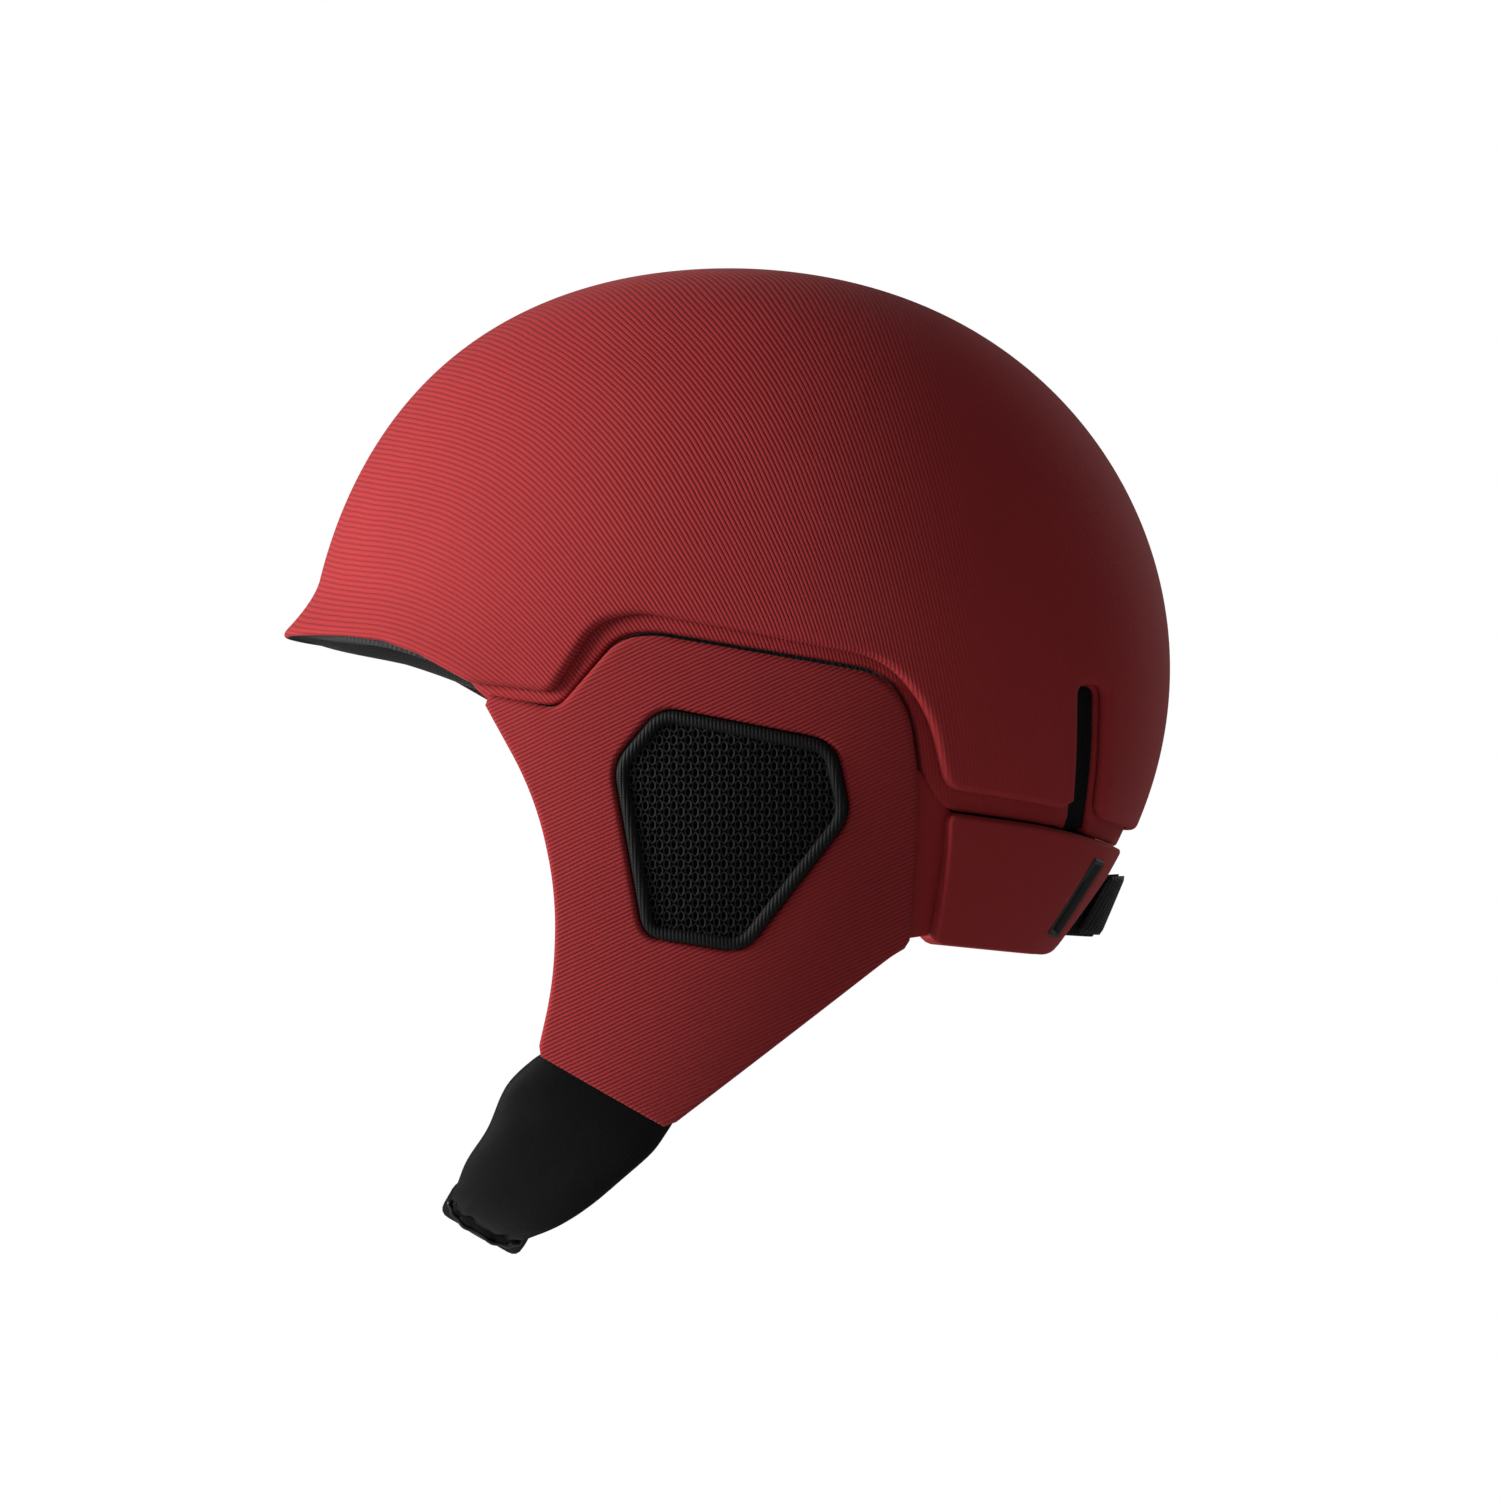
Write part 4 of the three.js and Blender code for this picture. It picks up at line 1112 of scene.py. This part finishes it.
def make_cuffs(finishes):
    """Gathered hem round each sleeve's end, with a loop of glossy piping on it."""
    turned, centre = buckle_matrix()
    angles, across, out = oval(120, 0.8)
    section = [(-2.2, -0.9), (-1.9, 0.6), (-1.1, 1.2), (0, 0.9), (1.0, 1.2), (1.8, 0.6), (2.2, -0.9)]
    middle = (CUFF["start"] + CUFF["end"]) / 2
    loops = []
    for shift, grow in section:
        puckers = 0.38 * np.sin(11 * angles + shift) + 0.16 * np.sin(23 * angles + 2 * shift)
        radial = grow + puckers * (1 if grow > 0 else 0.3)
        x = middle + shift + 0.35 * np.sin(5 * angles)
        local = np.stack([x, across * (CUFF["width"] / 2 - 1.2 + radial),
                          out * (CUFF["thickness"] / 2 - 1.0 + radial)], axis=1)
        loops.append(local @ turned.T + centre)
    made = lofted_pair("sleeve_cuff_gather", loops, finishes["neoprene"])
    place_pair(made, "{}_flap", "sleeve_cuff")
    rings = []
    for a, ca, sa in zip(angles, across, out):
        wave = 0.25 * math.sin(11 * a) + 0.15 * math.sin(7 * a)
        x = middle + 1.3 + 0.35 * math.sin(5 * a)
        spot = np.array([x, ca * (CUFF["width"] / 2 + wave), sa * (CUFF["thickness"] / 2 + wave)])
        away = np.array([0, ca, sa])
        away /= np.linalg.norm(away)
        rings.append([(spot + away * 0.8 * math.cos(t) + np.array([0.8 * math.sin(t), 0, 0]))
                      @ turned.T + centre for t in np.linspace(0, 2 * np.pi, 9)[:-1]])
    made = lofted_pair("cuff_piping", rings, finishes["gloss"], closed_length=True)
    place_pair(made, "{}_flap")


def bevelled_copy(node, name, body, finish, width):
    """Copy of a CAD node with softened edges."""
    mesh = bpy.data.objects[node].data.copy()
    mesh.name = name
    bm = bmesh.new()
    bm.from_mesh(mesh)
    bmesh.ops.remove_doubles(bm, verts=bm.verts, dist=0.00002)
    bmesh.ops.dissolve_limit(bm, angle_limit=math.radians(2), verts=bm.verts, edges=bm.edges)
    edges = [e for e in bm.edges if len(e.link_faces) == 2 and e.calc_face_angle() > math.radians(35)]
    bmesh.ops.bevel(bm, geom=edges, offset=width * MM, segments=3, profile=0.5, affect="EDGES",
                    clamp_overlap=True)
    bmesh.ops.triangulate(bm, faces=bm.faces)
    bm.to_mesh(mesh)
    bm.free()
    mesh.materials.clear()
    mesh.materials.append(finish)
    mesh.polygons.foreach_set("use_smooth", [True] * len(mesh.polygons))
    sharp_by_angle(mesh, 32)
    obj = bpy.data.objects.new(name, mesh)
    bpy.context.collection.objects.link(obj)
    place_piece(obj, body, [node])


def make_buckle(finishes):
    for node, name, body, slot, finish, width in (
            ("buckle_body", "buckle_body_shell", "right_flap", "black_plastic", "plastic", 0.45),
            ("buckle_clip", "buckle_clip_shell", "left_clip", "black_plastic", "plastic", 0.45),
            ("buckle_button", "buckle_button_cap", "button", "grey_rubber", "rubber", 0.5),
            ("buckle_magnet", "buckle_magnet_block", "right_flap", "magnet_metal", "steel", 0.2),
            ("clip_magnet", "clip_magnet_block", "left_clip", "magnet_metal", "steel", 0.2),
            ("webbing_left", "chin_webbing_left", "left_clip", "black_webbing", "webbing", 0.5),
            ("webbing_right", "chin_webbing_right", "right_flap", "black_webbing", "webbing", 0.5)):
        bevelled_copy(node, name, body, finishes[finish], width)


# ---- pads ----------------------------------------------------------------------------------------

def soft_pad(node, body, finish, voxel=4.0, cap=2.2, shrink=1.0):
    """Pad from its CAD solid: remeshed, drawn in, then swollen by a pressure simulation."""
    source = bpy.data.objects[node]
    mesh = source.data.copy()
    obj = bpy.data.objects.new(f"{node}_cushion", mesh)
    bpy.context.collection.objects.link(obj)
    remesh = obj.modifiers.new("even", "REMESH")
    remesh.mode = "VOXEL"
    remesh.voxel_size = voxel * MM
    apply_modifiers(obj)
    mesh = obj.data
    normals = np.array([v.normal for v in mesh.vertices])
    points = np.array([v.co for v in mesh.vertices]) - normals * shrink * MM
    mesh.vertices.foreach_set("co", points.ravel())
    mesh.update()
    cloth = obj.modifiers.new("swell", "CLOTH")
    cloth.settings.use_pressure = True
    cloth.settings.uniform_pressure_force = PAD_PRESSURE
    cloth.settings.effector_weights.gravity = 0
    for number in range(1, PAD_STEPS + 1):
        bpy.context.scene.frame_set(number)
    apply_modifiers(obj)
    mesh = obj.data
    swollen = np.array([v.co for v in mesh.vertices])
    moved = swollen - points
    length = np.linalg.norm(moved, axis=1)[:, None]
    moved *= np.minimum(1, cap * MM / np.maximum(length, 1e-9))
    mesh.vertices.foreach_set("co", (points + moved).ravel())
    mesh.update()
    bpy.context.scene.frame_set(1)
    smooth = obj.modifiers.new("smooth", "SUBSURF")
    smooth.levels = 1
    smooth.render_levels = 1
    apply_modifiers(obj)
    obj.data.materials.clear()
    obj.data.materials.append(finish)
    obj.data.polygons.foreach_set("use_smooth", [True] * len(obj.data.polygons))
    place_piece(obj, body, [node])


def make_pads(finishes):
    for node in ("brow_pad", "crown_pad", "nape_pad", "side_pad_left", "side_pad_right"):
        soft_pad(node, "shell", finishes["lining"])
    for side in ("left", "right"):
        soft_pad(f"ear_pad_{side}", f"{side}_flap", finishes["lining"], voxel=3.2)


# ---- camera, light and floor ---------------------------------------------------------------------

def look_at(obj, target):
    obj.rotation_euler = (Vector(target) - obj.location).to_track_quat("-Z", "Y").to_euler()


def make_camera():
    """The main view: the wearer's left side, from slightly below."""
    target = Vector((0, 0.0018, -0.0367))
    distance, tilt = 2.2, math.radians(-1.5)
    data = bpy.data.cameras.new("camera")
    data.lens = 174.2
    data.sensor_width = 36
    camera = bpy.data.objects.new("camera", data)
    bpy.context.collection.objects.link(camera)
    camera.location = target + Vector((math.cos(tilt), 0, math.sin(tilt))) * distance
    look_at(camera, target)
    bpy.context.scene.camera = camera


def area_light(name, place, target, size, power):
    data = bpy.data.lights.new(name, "AREA")
    data.shape = "DISK"
    data.size = size
    data.energy = power
    light = bpy.data.objects.new(name, data)
    bpy.context.collection.objects.link(light)
    light.location = place
    look_at(light, target)


def seen_by_camera(tree, plain, glow):
    """Mixes to glow for what the camera sees directly, so that the surroundings stay white."""
    path = tree.nodes.new("ShaderNodeLightPath")
    mix = tree.nodes.new("ShaderNodeMixShader")
    tree.links.new(path.outputs["Is Camera Ray"], mix.inputs[0])
    tree.links.new(plain, mix.inputs[1])
    tree.links.new(glow, mix.inputs[2])
    return mix.outputs[0]


def make_surroundings():
    bpy.context.scene.view_settings.view_transform = "Standard"
    world = bpy.data.worlds.new("studio")
    bpy.context.scene.world = world
    world.use_nodes = True
    tree = world.node_tree
    dim = tree.nodes["Background"]
    dim.inputs["Color"].default_value = (1, 1, 1, 1)
    dim.inputs["Strength"].default_value = 0.15
    white = tree.nodes.new("ShaderNodeBackground")
    white.inputs["Strength"].default_value = 1.0
    white.inputs["Color"].default_value = (1, 1, 1, 1)
    shown = seen_by_camera(tree, dim.outputs[0], white.outputs[0])
    tree.links.new(shown, tree.nodes["World Output"].inputs["Surface"])

    material = bpy.data.materials.new("pale_floor")
    material.use_nodes = True
    tree = material.node_tree
    paint = tree.nodes["Principled BSDF"]
    paint.inputs["Base Color"].default_value = (0.55, 0.55, 0.55, 1)
    glow = tree.nodes.new("ShaderNodeEmission")
    glow.inputs["Strength"].default_value = 1.0
    shown = seen_by_camera(tree, paint.outputs[0], glow.outputs[0])
    tree.links.new(shown, tree.nodes["Material Output"].inputs["Surface"])
    size, height = 12000, -520
    floor = make_object("floor", [(-size, -size, height), (size, -size, height), (size, size, height),
                                  (-size, size, height)], [[0, 1, 2, 3]], [material], smooth=False)


def make_lights():
    middle = (0, 0, -0.03)
    area_light("key", (0.63, -2.28, 0.47), middle, 1.2, 76)
    area_light("rim", (-1.6, 1.4, 0.5), middle, 0.9, 5)


# ---- assembly ------------------------------------------------------------------------------------

make_camera()
make_surroundings()
make_lights()
materials = make_materials()
make_shell(materials)
make_core(materials)
make_brim_underside(materials)
make_slit_gussets(materials)
make_flaps(materials)
make_ear_frames(materials)
make_ear_meshes(materials)
make_ear_backings(materials)
make_hinge_bands(materials)
make_neck_panels(materials)
make_neck_backings(materials)
make_slot_eyelets(materials)
make_strap(materials)
make_sleeves(materials)
make_cuffs(materials)
make_buckle(materials)
make_pads(materials)
